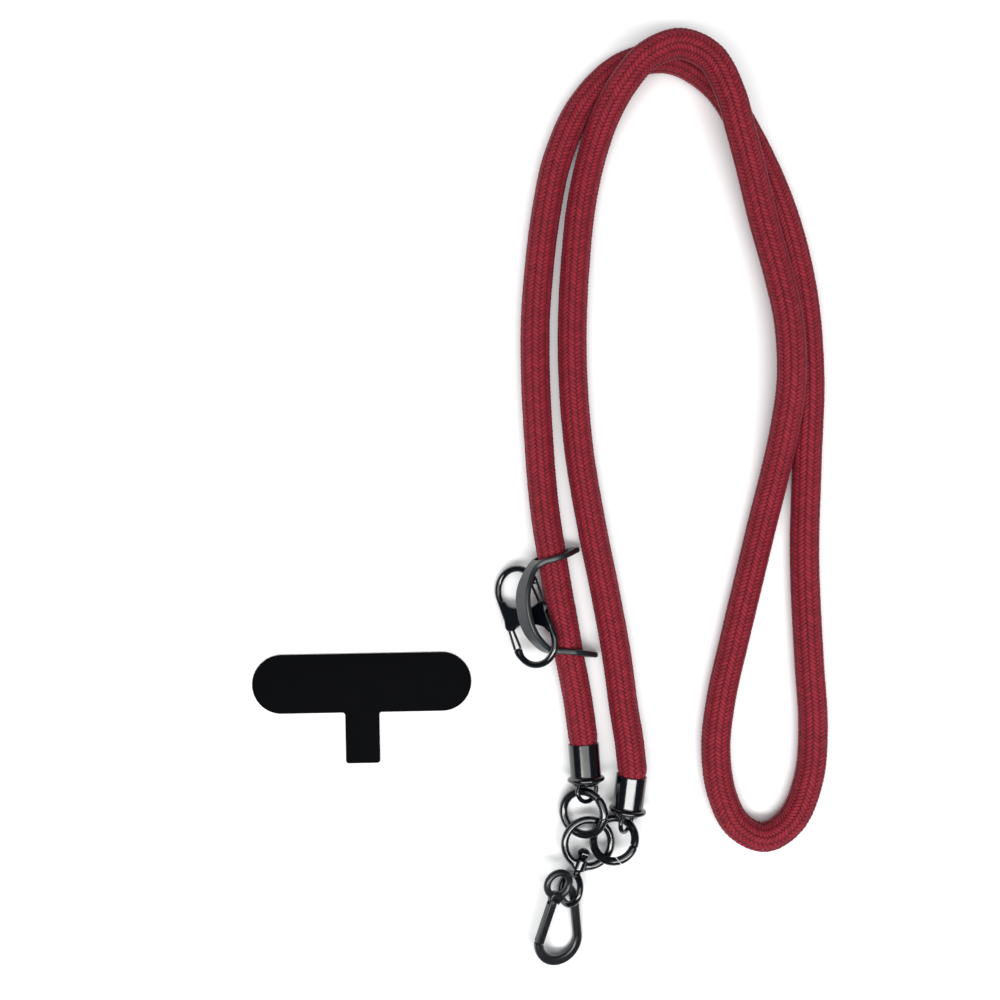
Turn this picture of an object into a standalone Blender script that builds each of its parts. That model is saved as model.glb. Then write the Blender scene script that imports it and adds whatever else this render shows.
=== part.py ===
"""Phone crossbody strap, laid flat on a table.

A braided rope with a metal cap at each end, three linked rings, a swivelling snap hook, a slider with a
double clip on one strand, and the T-shaped tab that goes inside a phone case. Metres, +Z up, table at z = 0.
"""

import math

import bmesh
import bpy
from mathutils import Matrix, Vector

MM = 0.001
GAP = 0.3 * MM            # clearance between pieces that touch
HINGE_GAP = 0.35 * MM     # clearance round a turning end
MERGE = 0.00001           # distance at which doubled points are merged

# The middle of the hardware's footprint, measured from the middle of the lay.
FOOTPRINT_X = -18.387 * MM
FOOTPRINT_Y = -90.265 * MM

# Rope
ROPE_DIAMETER = 10.0 * MM
ROPE_SAMPLES = 70
ROPE_NECK = 0.90          # share of its diameter where a cap squeezes it
ROPE_NECK_LENGTH = 2.0 * MM   # how far it stays in line with the cap outside the mouth

# End caps, measured along the cap from its bead
CAP_DIAMETER = 10.8 * MM
CAP_BORE = 9.8 * MM
CAP_LENGTH = 12.4 * MM
CAP_RECESS = 3.0 * MM
CAP_BEAD_DIAMETER = 13.2 * MM
CAP_BEAD_THICKNESS = 1.5 * MM
CAP_SHOULDER_DIAMETER = 8.0 * MM
CAP_SHOULDER_LENGTH = 2.4 * MM
CAP_EDGE = 0.4 * MM       # bevel of the bead
LOOP_RADIUS = 4.7 * MM
LOOP_DEPTH = 4.1 * MM
LOOP_WIRE = 1.6 * MM
LOOP_DROP = 3.7 * MM      # from the bead to the centre of the loop's arc
LOOP_FOOT = 3.1 * MM      # from the cap's axis to the loop's feet in the shoulder

# Rings
GATE_RING_RADIUS = 7.58 * MM
GATE_RING_WIRE = 2.9 * MM
GATE_SPAN = 50.0          # degrees of the ring that open
GATE_OVERRUN = 24.0       # degrees drawn beyond the seam before it is cut
GATE_PIN_DIAMETER = 1.0 * MM
GATE_PIN_PROUD = 0.15 * MM
SWIVEL_RING_RADIUS = 8.35 * MM
SWIVEL_RING_WIRE = 2.7 * MM

# Swivel, measured from the swivel ring's centre
BOSS_START = 5.9 * MM
BOSS_END = 10.1 * MM
BOSS_DIAMETER = 4.4 * MM
BOSS_FLARE_WIDTH = 10.4 * MM
BOSS_FLARE_DEPTH = 3.8 * MM
BOSS_FLARE_THICKNESS = 3.4 * MM
PIN_DIAMETER = 2.0 * MM
PIN_HEAD_DIAMETER = 4.8 * MM
PIN_HEAD_HEIGHT = 3.0 * MM
EYE_DISTANCE = 17.24 * MM
EYE_RADIUS = 5.2 * MM
EYE_WIRE = 2.4 * MM

# Snap hook, in its own plane with its eye's centre at the origin
HOOK_EYE_RADIUS = 4.3 * MM
HOOK_EYE_WIRE = 2.5 * MM
HOOK_WIRE = 3.1 * MM
HOOK_BOW_SWELL = 1.16     # how much thicker the wire is at the bottom of the bow
HOOK_BOW_RADIUS = 7.5 * MM
HOOK_BOW_CENTRE = (-0.1 * MM, -21.3 * MM)
HOOK_ARM_TOP = (4.4 * MM, -1.9 * MM)
HOOK_ARM_KNEE = (5.8 * MM, -5.0 * MM)
HOOK_ARM_TAPER = (0.75, 0.95)
HOOK_SEAM_ANGLE = 176.0   # degrees round the bow where the gate's free end meets it
HOOK_SEAM_RUN = 4.0 * MM  # wire drawn past that seam before it is cut
HOOK_RIVET_AT = (-2.3 * MM, -6.2 * MM)
HOOK_BLOCK_DIAMETER = 4.4 * MM
HOOK_BLOCK_AT = (0.9 * MM, 1.3 * MM)      # from the rivet, as the next four
HOOK_SPUR_AT = (2.4 * MM, -0.2 * MM)
HOOK_SPUR_SIZE = (3.4 * MM, 1.9 * MM)
HOOK_BRIDGE_AT = (0.8 * MM, 1.1 * MM)
HOOK_BRIDGE_SIZE = (2.8 * MM, 2.2 * MM)
HOOK_SPUR_LEAN = 28.0
HOOK_BRIDGE_LEAN = 54.0
HOOK_THICKNESS = 2.8 * MM
HOOK_GATE_WIDTH = 2.8 * MM
HOOK_TONGUE = 1.0 * MM
HOOK_GATE_SWING = 24.0    # degrees that the gate opens
HOOK_GATE_ROOM = 4.0 * MM # length of the body's cut that the open gate lies in, from the rivet
RIVET_DIAMETER = 1.1 * MM
RIVET_HEAD = 2.0 * MM
RIVET_HEAD_HEIGHT = 0.35 * MM

# Slider, in the plane of its strip: across and along the rope
SLIDER_THICKNESS = 2.0 * MM
SLIDER_HOLE = 12.0 * MM
SLIDER_HEIGHT = 7.6 * MM  # height of the rope's centre in the slider
SLIDER_ROLL = 30.0        # degrees that the strip is turned up round the rope

# Double clip, in its own plane
CLIP_WIRE = 2.4 * MM
CLIP_LOOP_RADIUS = 7.6 * MM
CLIP_LOOP_OFFSET = 10.0 * MM
CLIP_NOSE_ANGLE = 5.0
CLIP_HINGE = (7.5 * MM, 0.4 * MM)
CLIP_SLOT = 1.5 * MM
CLIP_SLOT_DIAMETER = 6.0 * MM
CLIP_FOOT_DIAMETER = 3.4 * MM
CLIP_GATE_WIRE = 0.84 * MM
CLIP_GATE_SPREAD = 2.1 * MM

# Phone tab
TAB_LENGTH = 78.1 * MM
TAB_WIDTH = 20.9 * MM
TAB_STEM_WIDTH = 12.1 * MM
TAB_STEM_LENGTH = 18.1 * MM
TAB_THICKNESS = 1.0 * MM
TAB_CORNER = 1.0 * MM
TAB_TURN = 1.1            # degrees, anticlockwise seen from above

# Number of sides of the turned and the drawn pieces
TURNED_STEPS = 24
WIRE_RESOLUTION = 3
RING_STEPS = 40

# Places in the lay, in millimetres from its middle: x to the right, y away from the hook's end, z up
ROPE_ROUTE = [
    (27.4, -70.5, 5.6), (25.7, -61.5, 6.4), (24.0, -53.3, 7.5), (22.3, -43.1, 7.6),
    (20.3, -32.2, 7.6), (18.2, -19.6, 7.5), (16.4, -8.4, 6.4), (15.0, 3.5, 5.3), (13.9, 17.6, 5.0),
    (12.6, 41.0, 5.0), (12.5, 63.5, 5.0), (13.7, 80.4, 5.0), (16.2, 100.9, 5.0), (20.7, 121.5, 5.0),
    (29.6, 140.0, 5.0), (43.5, 152.8, 5.0), (60.3, 155.6, 5.0), (75.4, 147.0, 5.0), (86.4, 130.5, 5.0),
    (99.1, 103.0, 5.0), (106.6, 74.0, 5.0), (109.2, 44.1, 5.0), (108.3, 14.0, 5.0), (107.4, -20.0, 5.0),
    (109.0, -56.4, 5.0), (110.4, -80.0, 5.0), (108.9, -98.0, 5.0), (102.8, -112.8, 5.0),
    (93.3, -118.9, 5.0), (84.0, -114.8, 5.0), (78.4, -104.2, 5.0), (76.1, -88.0, 5.0),
    (78.0, -70.0, 5.0), (82.6, -49.5, 5.0), (88.0, -27.0, 5.0), (92.7, -7.5, 5.0),
    (96.5, 8.5, 6.2), (99.2, 23.5, 9.2), (101.2, 42.0, 11.7), (100.3, 61.8, 11.6), (97.1, 78.0, 10.6),
    (91.9, 96.8, 10.4), (86.7, 115.6, 12.7), (82.8, 128.3, 14.5), (79.3, 140.0, 15.3), (72.6, 152.3, 15.0),
    (61.9, 157.1, 15.0), (50.7, 152.9, 15.1), (42.7, 144.2, 13.0), (36.8, 134.0, 9.2),
    (32.3, 121.0, 5.4), (28.7, 104.1, 5.0), (26.6, 84.0, 5.0), (25.5, 62.0, 5.0), (25.9, 40.0, 5.0),
    (28.0, 16.5, 5.0), (32.4, -9.5, 5.0), (36.9, -31.7, 5.0), (41.0, -54.0, 5.0), (43.7, -74.0, 5.4),
    (45.3, -84.0, 6.4),
]
CAP_LEFT_BEAD = (30.24, -98.0, 6.65)
CAP_LEFT_LEAN = 4.0
CAP_LEFT_RISE = 2.7
CAP_LEFT_LOOP_TURN = 42.2
CAP_RIGHT_BEAD = (44.8, -108.85, 6.65)
CAP_RIGHT_LEAN = -6.5
CAP_RIGHT_RISE = -2.35
CAP_RIGHT_LOOP_TURN = 60.0
RING_LEFT_CENTRE = (29.405, -110.123, 5.916)
RING_LEFT_NORMAL = (-0.448, -0.013, 1.0)
RING_LEFT_HINGE = 40.0
RING_RIGHT_CENTRE = (40.101, -119.344, 6.264)
RING_RIGHT_NORMAL = (-0.425, 0.567, 1.0)
RING_RIGHT_HINGE = -30.0
SWIVEL_RING_CENTRE = (30.976, -120.838, 5.678)
SWIVEL_RING_NORMAL = (0.154, -0.053, 1.0)
SWIVEL_LEAN = -21.0
EYE_TURN = -67.4
HOOK_EYE_CENTRE = (20.388, -134.217, 9.15)
HOOK_NORMAL = (0.42, -0.20, 1.0)
HOOK_LEAN = 0.5
SLIDER_MIDDLE = (21.0, -36.0)
SLIDER_LEAN = 9.8
CLIP_CENTRE = (9.1, -40.6, 9.2)
CLIP_NORMAL = (-0.62, 0.13, 1.0)
CLIP_LEAN = 20.3
TAB_BAR_CENTRE = (-49.3, -65.2)

# The slider's strip, in millimetres: across (away from the rope's centre), along the rope, and half its
# width there. A round plate at each end with a tab beyond it, and the bow between them. The rope's holes
# go through the two widest places.
SLIDER_STATIONS = [
    (-11.4, 17.12, 1.8), (-8.5, 17.0, 3.5), (-6.0, 16.7, 5.0), (-4.0, 16.5, 6.1), (-2.0, 16.3, 7.0),
    (0.0, 16.1, 7.3), (2.0, 15.9, 7.0), (4.0, 15.6, 6.1), (5.8, 15.3, 4.6), (8.4, 14.0, 3.2),
    (10.9, 11.5, 3.2), (13.2, 7.9, 3.7), (14.5, 4.0, 3.8), (14.9, -0.4, 3.8), (14.5, -4.8, 3.8),
    (13.2, -8.8, 3.7), (11.0, -12.2, 3.4), (8.6, -14.7, 3.2), (6.2, -15.8, 3.4), (4.0, -16.4, 5.4),
    (2.0, -17.0, 7.0), (0.0, -17.6, 7.3), (-2.0, -18.2, 7.0), (-4.0, -18.8, 6.1), (-6.0, -19.4, 5.0),
    (-8.5, -20.2, 3.5), (-11.4, -21.1, 1.8),
]

# Outline of half of the double clip's centre plate, in millimetres; the other half is the same, turned.
CLIP_PLATE_HALF = [
    (-8.3, 8.4), (-6.1, 8.4), (-5.3, 6.6), (-3.8, 5.2), (-1.8, 4.0), (0.8, 2.7), (3.2, 2.1), (5.4, 2.3),
    (7.2, 2.6), (8.7, 1.9), (9.1, 0.4), (8.6, -1.6),
]


def lay(place):
    """Puts a place of the lay, in millimetres, into the part's own frame."""
    x, y, z = place
    return Vector((x * MM - FOOTPRINT_X, y * MM - FOOTPRINT_Y, z * MM))


def new_collection(name):
    """Makes an empty collection and links it under the scene's own."""
    made = bpy.data.collections.new(name)
    bpy.context.scene.collection.children.link(made)
    return made


def principled(name, colour, roughness, metallic=0.0):
    """Makes a material with a Principled BSDF of the piece's own colour."""
    made = bpy.data.materials.new(name)
    made.use_nodes = True
    shader = made.node_tree.nodes["Principled BSDF"]
    shader.inputs["Base Color"].default_value = (*colour, 1.0)
    shader.inputs["Roughness"].default_value = roughness
    shader.inputs["Metallic"].default_value = metallic
    return made


def add_mesh(name, mesh, matrix=None):
    """Wraps a mesh in an object in the cutters' collection, until a piece claims it."""
    made = bpy.data.objects.new(name, mesh)
    if matrix is not None:
        made.matrix_world = matrix
    made.hide_render = True
    made.display_type = "WIRE"
    CUTTERS.objects.link(made)
    return made


def finish(made, name, finish_material, smooth=True):
    """Names a finished piece, gives it its material and moves it among the parts."""
    made.name = name
    made.data.name = name
    made.data.materials.clear()
    made.data.materials.append(finish_material)
    made.hide_render = False
    made.display_type = "TEXTURED"
    CUTTERS.objects.unlink(made)
    PARTS.objects.link(made)
    if smooth:
        made.data.shade_smooth()
        made.data.set_sharp_from_angle(angle=math.radians(38))
    return made


def meshed(made, name):
    """Turns a curve, or an object with modifiers, into a welded mesh object at the same place."""
    bpy.context.view_layer.update()
    graph = bpy.context.evaluated_depsgraph_get()
    mesh = bpy.data.meshes.new_from_object(made.evaluated_get(graph))
    work = bmesh.new()
    work.from_mesh(mesh)
    bmesh.ops.remove_doubles(work, verts=work.verts, dist=MERGE)
    bmesh.ops.recalc_face_normals(work, faces=work.faces)
    work.to_mesh(mesh)
    work.free()
    place = made.matrix_world.copy()
    bpy.data.objects.remove(made)
    return add_mesh(name, mesh, place)


def combine(target, other, operation):
    """Joins or cuts the target with another object, which is used up."""
    step = target.modifiers.new(operation.lower(), "BOOLEAN")
    step.operation = operation
    step.solver = "EXACT"
    step.object = other
    made = meshed(target, target.name)
    bpy.data.objects.remove(other)
    return made


def drum(radius, depth, matrix, sides=TURNED_STEPS):
    """A cylinder centred on its matrix, along its Z."""
    work = bmesh.new()
    bmesh.ops.create_cone(work, cap_ends=True, segments=sides, radius1=radius, radius2=radius, depth=depth)
    mesh = bpy.data.meshes.new("drum")
    work.to_mesh(mesh)
    work.free()
    return add_mesh("drum", mesh, matrix)


def globe(radii, matrix, sides=TURNED_STEPS):
    """A ball with a radius along each of its matrix's axes."""
    work = bmesh.new()
    bmesh.ops.create_uvsphere(work, u_segments=sides, v_segments=sides // 2, radius=1.0)
    bmesh.ops.scale(work, vec=radii, verts=work.verts)
    mesh = bpy.data.meshes.new("globe")
    work.to_mesh(mesh)
    work.free()
    return add_mesh("globe", mesh, matrix)


def block(size, matrix):
    """A box centred on its matrix."""
    work = bmesh.new()
    bmesh.ops.create_cube(work, size=1.0)
    bmesh.ops.scale(work, vec=size, verts=work.verts)
    mesh = bpy.data.meshes.new("block")
    work.to_mesh(mesh)
    work.free()
    return add_mesh("block", mesh, matrix)


def drawn_wire(points, wire, matrix, closed=False, shares=None, resolution=WIRE_RESOLUTION):
    """A round wire through the points as a curve object, with its thickness as a share at each."""
    data = bpy.data.curves.new("wire", "CURVE")
    data.dimensions = "3D"
    data.bevel_depth = wire / 2
    data.bevel_resolution = resolution
    data.use_fill_caps = not closed
    data.twist_mode = "MINIMUM"
    spline = data.splines.new("POLY")
    spline.points.add(len(points) - 1)
    for index, point in enumerate(points):
        spline.points[index].co = (*point, 1.0)
        if shares is not None:
            spline.points[index].radius = shares[index]
    spline.use_cyclic_u = closed
    made = bpy.data.objects.new("wire", data)
    made.matrix_world = matrix
    CUTTERS.objects.link(made)
    return made


def arc(centre, radius, start, end, steps):
    """Points of an arc in the XY plane, from start to end in degrees."""
    turn = [math.radians(start + (end - start) * step / steps) for step in range(steps + 1)]
    return [Vector((centre[0] + radius * math.cos(a), centre[1] + radius * math.sin(a), 0.0)) for a in turn]


def seated(origin, normal, lean):
    """Matrix of a flat piece: Z along the normal, Y as near as it can be to up the lay, leaning."""
    z_axis = Vector(normal).normalized()
    plan = Vector((-math.sin(math.radians(lean)), math.cos(math.radians(lean)), 0.0))
    y_axis = plan - Vector((0.0, 0.0, plan.dot(z_axis) / z_axis.z))
    y_axis = y_axis.normalized()
    x_axis = y_axis.cross(z_axis)
    turned = Matrix((x_axis, y_axis, z_axis)).transposed().to_4x4()
    return Matrix.Translation(origin) @ turned


def smooth_route(stations, samples):
    """Evenly spaced points on a centripetal Catmull-Rom curve through the stations."""
    ends = [2 * stations[0] - stations[1]] + stations + [2 * stations[-1] - stations[-2]]
    fine = []
    for index in range(1, len(ends) - 2):
        before, here, there, after = ends[index - 1:index + 3]
        knots = [0.0]
        for first, second in ((before, here), (here, there), (there, after)):
            knots.append(knots[-1] + math.sqrt((second - first).length))
        for step in range(16):
            at = knots[1] + (knots[2] - knots[1]) * step / 16
            first = blend(before, here, knots[0], knots[1], at)
            second = blend(here, there, knots[1], knots[2], at)
            third = blend(there, after, knots[2], knots[3], at)
            lower = blend(first, second, knots[0], knots[2], at)
            upper = blend(second, third, knots[1], knots[3], at)
            fine.append(blend(lower, upper, knots[1], knots[2], at))
    fine.append(stations[-1])
    lengths = [0.0]
    for first, second in zip(fine, fine[1:]):
        lengths.append(lengths[-1] + (second - first).length)
    even = []
    index = 0
    for sample in range(samples):
        want = lengths[-1] * sample / (samples - 1)
        while index < len(fine) - 2 and lengths[index + 1] < want:
            index += 1
        share = (want - lengths[index]) / (lengths[index + 1] - lengths[index])
        even.append(fine[index].lerp(fine[index + 1], share))
    return even


def blend(first, second, start, end, at):
    """The point between two others whose knots are start and end."""
    return first * ((end - at) / (end - start)) + second * ((at - start) / (end - start))


def cap_matrix(bead, lean, rise):
    """Matrix of an end cap: origin at its bead, Z towards its mouth, X level, the loop's end risen."""
    plan = Vector((-math.sin(math.radians(lean)), math.cos(math.radians(lean)), 0.0))
    z_axis = (plan - Vector((0, 0, math.tan(math.radians(rise))))).normalized()
    x_axis = Vector((0, 0, 1)).cross(z_axis).normalized()
    y_axis = z_axis.cross(x_axis)
    turned = Matrix((x_axis, y_axis, z_axis)).transposed().to_4x4()
    return Matrix.Translation(lay(bead)) @ turned


def make_rope(left, right):
    """The rope, from its seat in one cap round the lay to its seat in the other."""
    seat = CAP_LENGTH - CAP_RECESS + GAP
    squeezed = (seat, CAP_LENGTH, CAP_LENGTH + ROPE_NECK_LENGTH)
    stations = [left @ Vector((0, 0, squeezed[-1]))]
    stations += [lay(place) for place in ROPE_ROUTE]
    stations.append(right @ Vector((0, 0, squeezed[-1])))
    path = [left @ Vector((0, 0, reach)) for reach in squeezed[:2]]
    path += smooth_route(stations, ROPE_SAMPLES)
    path += [right @ Vector((0, 0, reach)) for reach in reversed(squeezed[:2])]
    shares = [ROPE_NECK, ROPE_NECK] + [1.0] * ROPE_SAMPLES + [ROPE_NECK, ROPE_NECK]
    made = drawn_wire(path, ROPE_DIAMETER, Matrix.Identity(4), shares=shares)
    return finish(meshed(made, "rope"), "rope", ROPE_FINISH)


def make_cap(name, place, loop_turn):
    """A turned cap with its recess, bead and shoulder, and the wire loop under it, in one piece."""
    bead = CAP_BEAD_DIAMETER / 2
    half = CAP_BEAD_THICKNESS / 2
    wall = CAP_DIAMETER / 2
    profile = [
        (0.0, CAP_LENGTH - CAP_RECESS), (CAP_BORE / 2, CAP_LENGTH - CAP_RECESS), (CAP_BORE / 2, CAP_LENGTH),
        (wall, CAP_LENGTH), (wall, half + CAP_EDGE), (bead - CAP_EDGE, half), (bead, half - CAP_EDGE),
        (bead, CAP_EDGE - half), (bead - CAP_EDGE, -half), (wall, -half - CAP_EDGE),
        (CAP_SHOULDER_DIAMETER / 2, -CAP_SHOULDER_LENGTH), (0.0, -CAP_SHOULDER_LENGTH),
    ]
    data = bpy.data.meshes.new("profile")
    data.from_pydata([(x, 0.0, z) for x, z in profile], [(i, i + 1) for i in range(len(profile) - 1)], [])
    turned = add_mesh("cap", data, place)
    screw = turned.modifiers.new("turn", "SCREW")
    screw.steps = TURNED_STEPS
    screw.render_steps = TURNED_STEPS
    screw.use_merge_vertices = True
    screw.merge_threshold = MERGE
    turned = meshed(turned, name)
    inside = LOOP_WIRE / 2 - CAP_SHOULDER_LENGTH
    deepen = LOOP_DEPTH / LOOP_RADIUS
    bend = [Vector((p.x, 0.0, p.y * deepen - LOOP_DROP)) for p in arc((0, 0), LOOP_RADIUS, 180, 360, 14)]
    points = [Vector((-LOOP_FOOT, 0, inside)), *bend, Vector((LOOP_FOOT, 0, inside))]
    turn = Matrix.Rotation(math.radians(loop_turn), 4, "Z")
    loop = meshed(drawn_wire(points, LOOP_WIRE, place @ turn, resolution=2), "loop")
    return finish(combine(turned, loop, "UNION"), name, BLACK_GLOSS)


def gate_ends(hinge_angle):
    """Places of a gate's hinge and free end on a ring, and the direction between them."""
    hinge = arc((0, 0), GATE_RING_RADIUS, hinge_angle, hinge_angle, 1)[0]
    free = arc((0, 0), GATE_RING_RADIUS, hinge_angle - GATE_SPAN, hinge_angle, 1)[0]
    return hinge, free, (free - hinge).normalized()


def seam_cutter(place, at, along):
    """A box that takes away all beyond a seam: its face lies across the chord, half a gap from it."""
    reach = 7 * MM
    turned = Matrix.Rotation(math.atan2(along.y, along.x), 4, "Z")
    centre = at + along * (reach / 2 - GAP / 2)
    return block((reach, 2 * reach, reach), place @ Matrix.Translation(centre) @ turned)


def make_ring(name, place, hinge_angle):
    """The fixed part of a spring-gate ring."""
    hinge, free, along = gate_ends(hinge_angle)
    start = hinge_angle + math.degrees(HINGE_GAP / GATE_RING_RADIUS)
    end = hinge_angle - GATE_SPAN + 360 + GATE_OVERRUN
    made = meshed(
        drawn_wire(arc((0, 0), GATE_RING_RADIUS, start, end, RING_STEPS), GATE_RING_WIRE, place), name)
    made = combine(made, seam_cutter(place, free, -along), "DIFFERENCE")
    seat = GATE_RING_WIRE / 2 + HINGE_GAP
    made = combine(made, globe((seat, seat, seat), place @ Matrix.Translation(hinge)), "DIFFERENCE")
    return finish(made, name, BLACK_GLOSS)


def make_ring_gate(name, place, hinge_angle):
    """The arc that opens, with its rounded end and pin; its origin is on the hinge."""
    hinge, free, along = gate_ends(hinge_angle)
    round_end = 0.999 * GATE_RING_WIRE / 2
    bow = arc((0, 0), GATE_RING_RADIUS, hinge_angle, hinge_angle - GATE_SPAN - GATE_OVERRUN, 16)
    made = meshed(drawn_wire(bow, GATE_RING_WIRE, place), name)
    made = combine(made, seam_cutter(place, free, along), "DIFFERENCE")
    at = place @ Matrix.Translation(hinge)
    made = combine(made, globe((round_end, round_end, round_end), at, 16), "UNION")
    pin = drum(GATE_PIN_DIAMETER / 2, GATE_RING_WIRE + 2 * GATE_PIN_PROUD, at, 12)
    made = combine(made, pin, "UNION")
    made.data.transform(at.inverted() @ made.matrix_world)
    made.matrix_world = at
    return finish(made, name, BLACK_GLOSS)


def make_swivel_ring(place):
    """The ring with a flared boss at its foot, drilled for the swivel's pin."""
    circle = arc((0, 0), SWIVEL_RING_RADIUS, 0, 360, RING_STEPS)[:-1]
    made = meshed(drawn_wire(circle, SWIVEL_RING_WIRE, place, closed=True), "swivel_ring")
    down = Matrix.Rotation(math.radians(90), 4, "X")
    middle = place @ Matrix.Translation((0, -(BOSS_START + BOSS_END) / 2, 0)) @ down
    flare = (BOSS_FLARE_WIDTH / 2, BOSS_FLARE_DEPTH / 2, BOSS_FLARE_THICKNESS / 2)
    made = combine(made, globe(flare, place @ Matrix.Translation((0, -SWIVEL_RING_RADIUS, 0)), 20), "UNION")
    made = combine(made, drum(BOSS_DIAMETER / 2, BOSS_END - BOSS_START, middle, 20), "UNION")
    bore = PIN_DIAMETER / 2 + GAP
    made = combine(made, drum(bore, 3 * (BOSS_END - BOSS_START), middle, 16), "DIFFERENCE")
    return finish(made, "swivel_ring", BLACK_GLOSS)


def make_swivel_eye(place):
    """The swivel's pin with its head inside the ring and its eye below; its axis is the pin's."""
    down = Matrix.Rotation(math.radians(90), 4, "X")
    head_at = BOSS_START - GAP - PIN_HEAD_HEIGHT / 2
    end_at = EYE_DISTANCE - EYE_RADIUS
    middle = place @ Matrix.Translation((0, -(head_at + end_at) / 2, 0)) @ down
    made = drum(PIN_DIAMETER / 2, end_at - head_at, middle, 16)
    head = (PIN_HEAD_DIAMETER / 2, PIN_HEAD_DIAMETER / 2, PIN_HEAD_HEIGHT / 2)
    made = combine(made, globe(head, place @ Matrix.Translation((0, -head_at, 0)) @ down, 16), "UNION")
    eye = place @ Matrix.Translation((0, -EYE_DISTANCE, 0)) @ Matrix.Rotation(math.radians(EYE_TURN), 4, "Y")
    circle = arc((0, 0), EYE_RADIUS, 90, 450, 28)[:-1]
    ring = meshed(drawn_wire(circle, EYE_WIRE, eye, closed=True), "eye")
    return finish(combine(made, ring, "UNION"), "swivel_eye", BLACK_GLOSS)


def hook_gate_line():
    """The gate's hinge, its free end and its direction, in the hook's plane."""
    hinge = Vector((*HOOK_RIVET_AT, 0.0))
    centre = Vector((*HOOK_BOW_CENTRE, 0.0))
    seam = math.radians(HOOK_SEAM_ANGLE)
    free = centre + HOOK_BOW_RADIUS * Vector((math.cos(seam), math.sin(seam), 0))
    return hinge, free, (free - hinge).normalized()


def make_hook_body(place):
    """The hook's eye, arm and bow, with the block that its gate turns on."""
    hinge, free, along = hook_gate_line()
    circle = arc((0, 0), HOOK_EYE_RADIUS, 0, 360, 28)[:-1]
    made = meshed(drawn_wire(circle, HOOK_EYE_WIRE, place, closed=True), "hook_body")
    bow = arc(HOOK_BOW_CENTRE, HOOK_BOW_RADIUS, 3, -184, 22)
    swell = [1 + (HOOK_BOW_SWELL - 1) * math.sin(math.pi * i / 22) for i in range(23)]
    tail = free - along * HOOK_SEAM_RUN
    points = [Vector((*HOOK_ARM_TOP, 0.0)), Vector((*HOOK_ARM_KNEE, 0.0)), *bow, tail]
    arm = meshed(drawn_wire(points, HOOK_WIRE, place, shares=[*HOOK_ARM_TAPER, *swell, 1.0]), "arm")
    arm = combine(arm, seam_cutter(place, free, -along), "DIFFERENCE")
    made = combine(made, arm, "UNION")
    flat = place @ Matrix.Translation(hinge)
    lug = drum(HOOK_BLOCK_DIAMETER / 2, HOOK_THICKNESS, flat @ Matrix.Translation((*HOOK_BLOCK_AT, 0)), 20)
    made = combine(made, lug, "UNION")
    spur = flat @ Matrix.Translation((*HOOK_SPUR_AT, 0)) @ Matrix.Rotation(math.radians(HOOK_SPUR_LEAN), 4, "Z")
    made = combine(made, block((*HOOK_SPUR_SIZE, HOOK_THICKNESS), spur), "UNION")
    clear = HOOK_GATE_WIDTH / 2 + HINGE_GAP
    made = combine(made, drum(clear, 2 * HOOK_THICKNESS, flat, 24), "DIFFERENCE")
    opened = math.atan2(along.y, along.x) + math.radians(HOOK_GATE_SWING)
    room = flat @ Matrix.Rotation(opened, 4, "Z") @ Matrix.Translation((HOOK_GATE_ROOM / 2, 0, 0))
    made = combine(made, block((HOOK_GATE_ROOM, 2 * clear, 2 * HOOK_THICKNESS), room), "DIFFERENCE")
    made = combine(made, drum(HOOK_GATE_WIDTH / 2 - 0.1 * MM, HOOK_TONGUE, flat, 20), "UNION")
    lean = Matrix.Rotation(math.radians(HOOK_BRIDGE_LEAN), 4, "Z")
    bridge = flat @ Matrix.Translation((*HOOK_BRIDGE_AT, 0)) @ lean
    made = combine(made, block((*HOOK_BRIDGE_SIZE, HOOK_TONGUE), bridge), "UNION")
    hole = RIVET_DIAMETER / 2 + GAP / 2
    made = combine(made, drum(hole, 2 * HOOK_THICKNESS, flat, 16), "DIFFERENCE")
    return finish(made, "hook_body", BLACK_MATT)


def make_hook_gate(place):
    """The hook's gate: a bar with a forked, rounded top that turns on the rivet."""
    hinge, free, along = hook_gate_line()
    flat = place @ Matrix.Translation(hinge)
    length = (free - hinge).length - GAP / 2
    lean = Matrix.Rotation(math.atan2(along.y, along.x), 4, "Z")
    made = block((length, HOOK_GATE_WIDTH, HOOK_THICKNESS), flat @ lean @ Matrix.Translation((length / 2, 0, 0)))
    made = combine(made, drum(HOOK_GATE_WIDTH / 2, HOOK_THICKNESS, flat, 24), "UNION")
    slot = HOOK_TONGUE + 2 * GAP
    made = combine(made, drum(HOOK_GATE_WIDTH / 2 + GAP, slot, flat, 24), "DIFFERENCE")
    hole = RIVET_DIAMETER / 2 + GAP / 2
    made = combine(made, drum(hole, 2 * HOOK_THICKNESS, flat, 16), "DIFFERENCE")
    made.data.transform(flat.inverted() @ made.matrix_world)
    made.matrix_world = flat
    return finish(made, "hook_gate", BLACK_MATT)


def make_hook_rivet(place):
    """The rivet that the hook's gate turns on, with a head on each side."""
    flat = place @ Matrix.Translation(Vector((*HOOK_RIVET_AT, 0.0)))
    gap = GAP / 2
    shank = HOOK_THICKNESS + 2 * gap + 2 * RIVET_HEAD_HEIGHT
    made = drum(RIVET_DIAMETER / 2, shank, flat, 16)
    for side in (-1, 1):
        lift = side * (HOOK_THICKNESS / 2 + gap + RIVET_HEAD_HEIGHT / 2)
        head = flat @ Matrix.Translation((0, 0, lift))
        made = combine(made, drum(RIVET_HEAD / 2, RIVET_HEAD_HEIGHT, head, 16), "UNION")
    return finish(made, "hook_rivet", BLACK_MATT)


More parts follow.
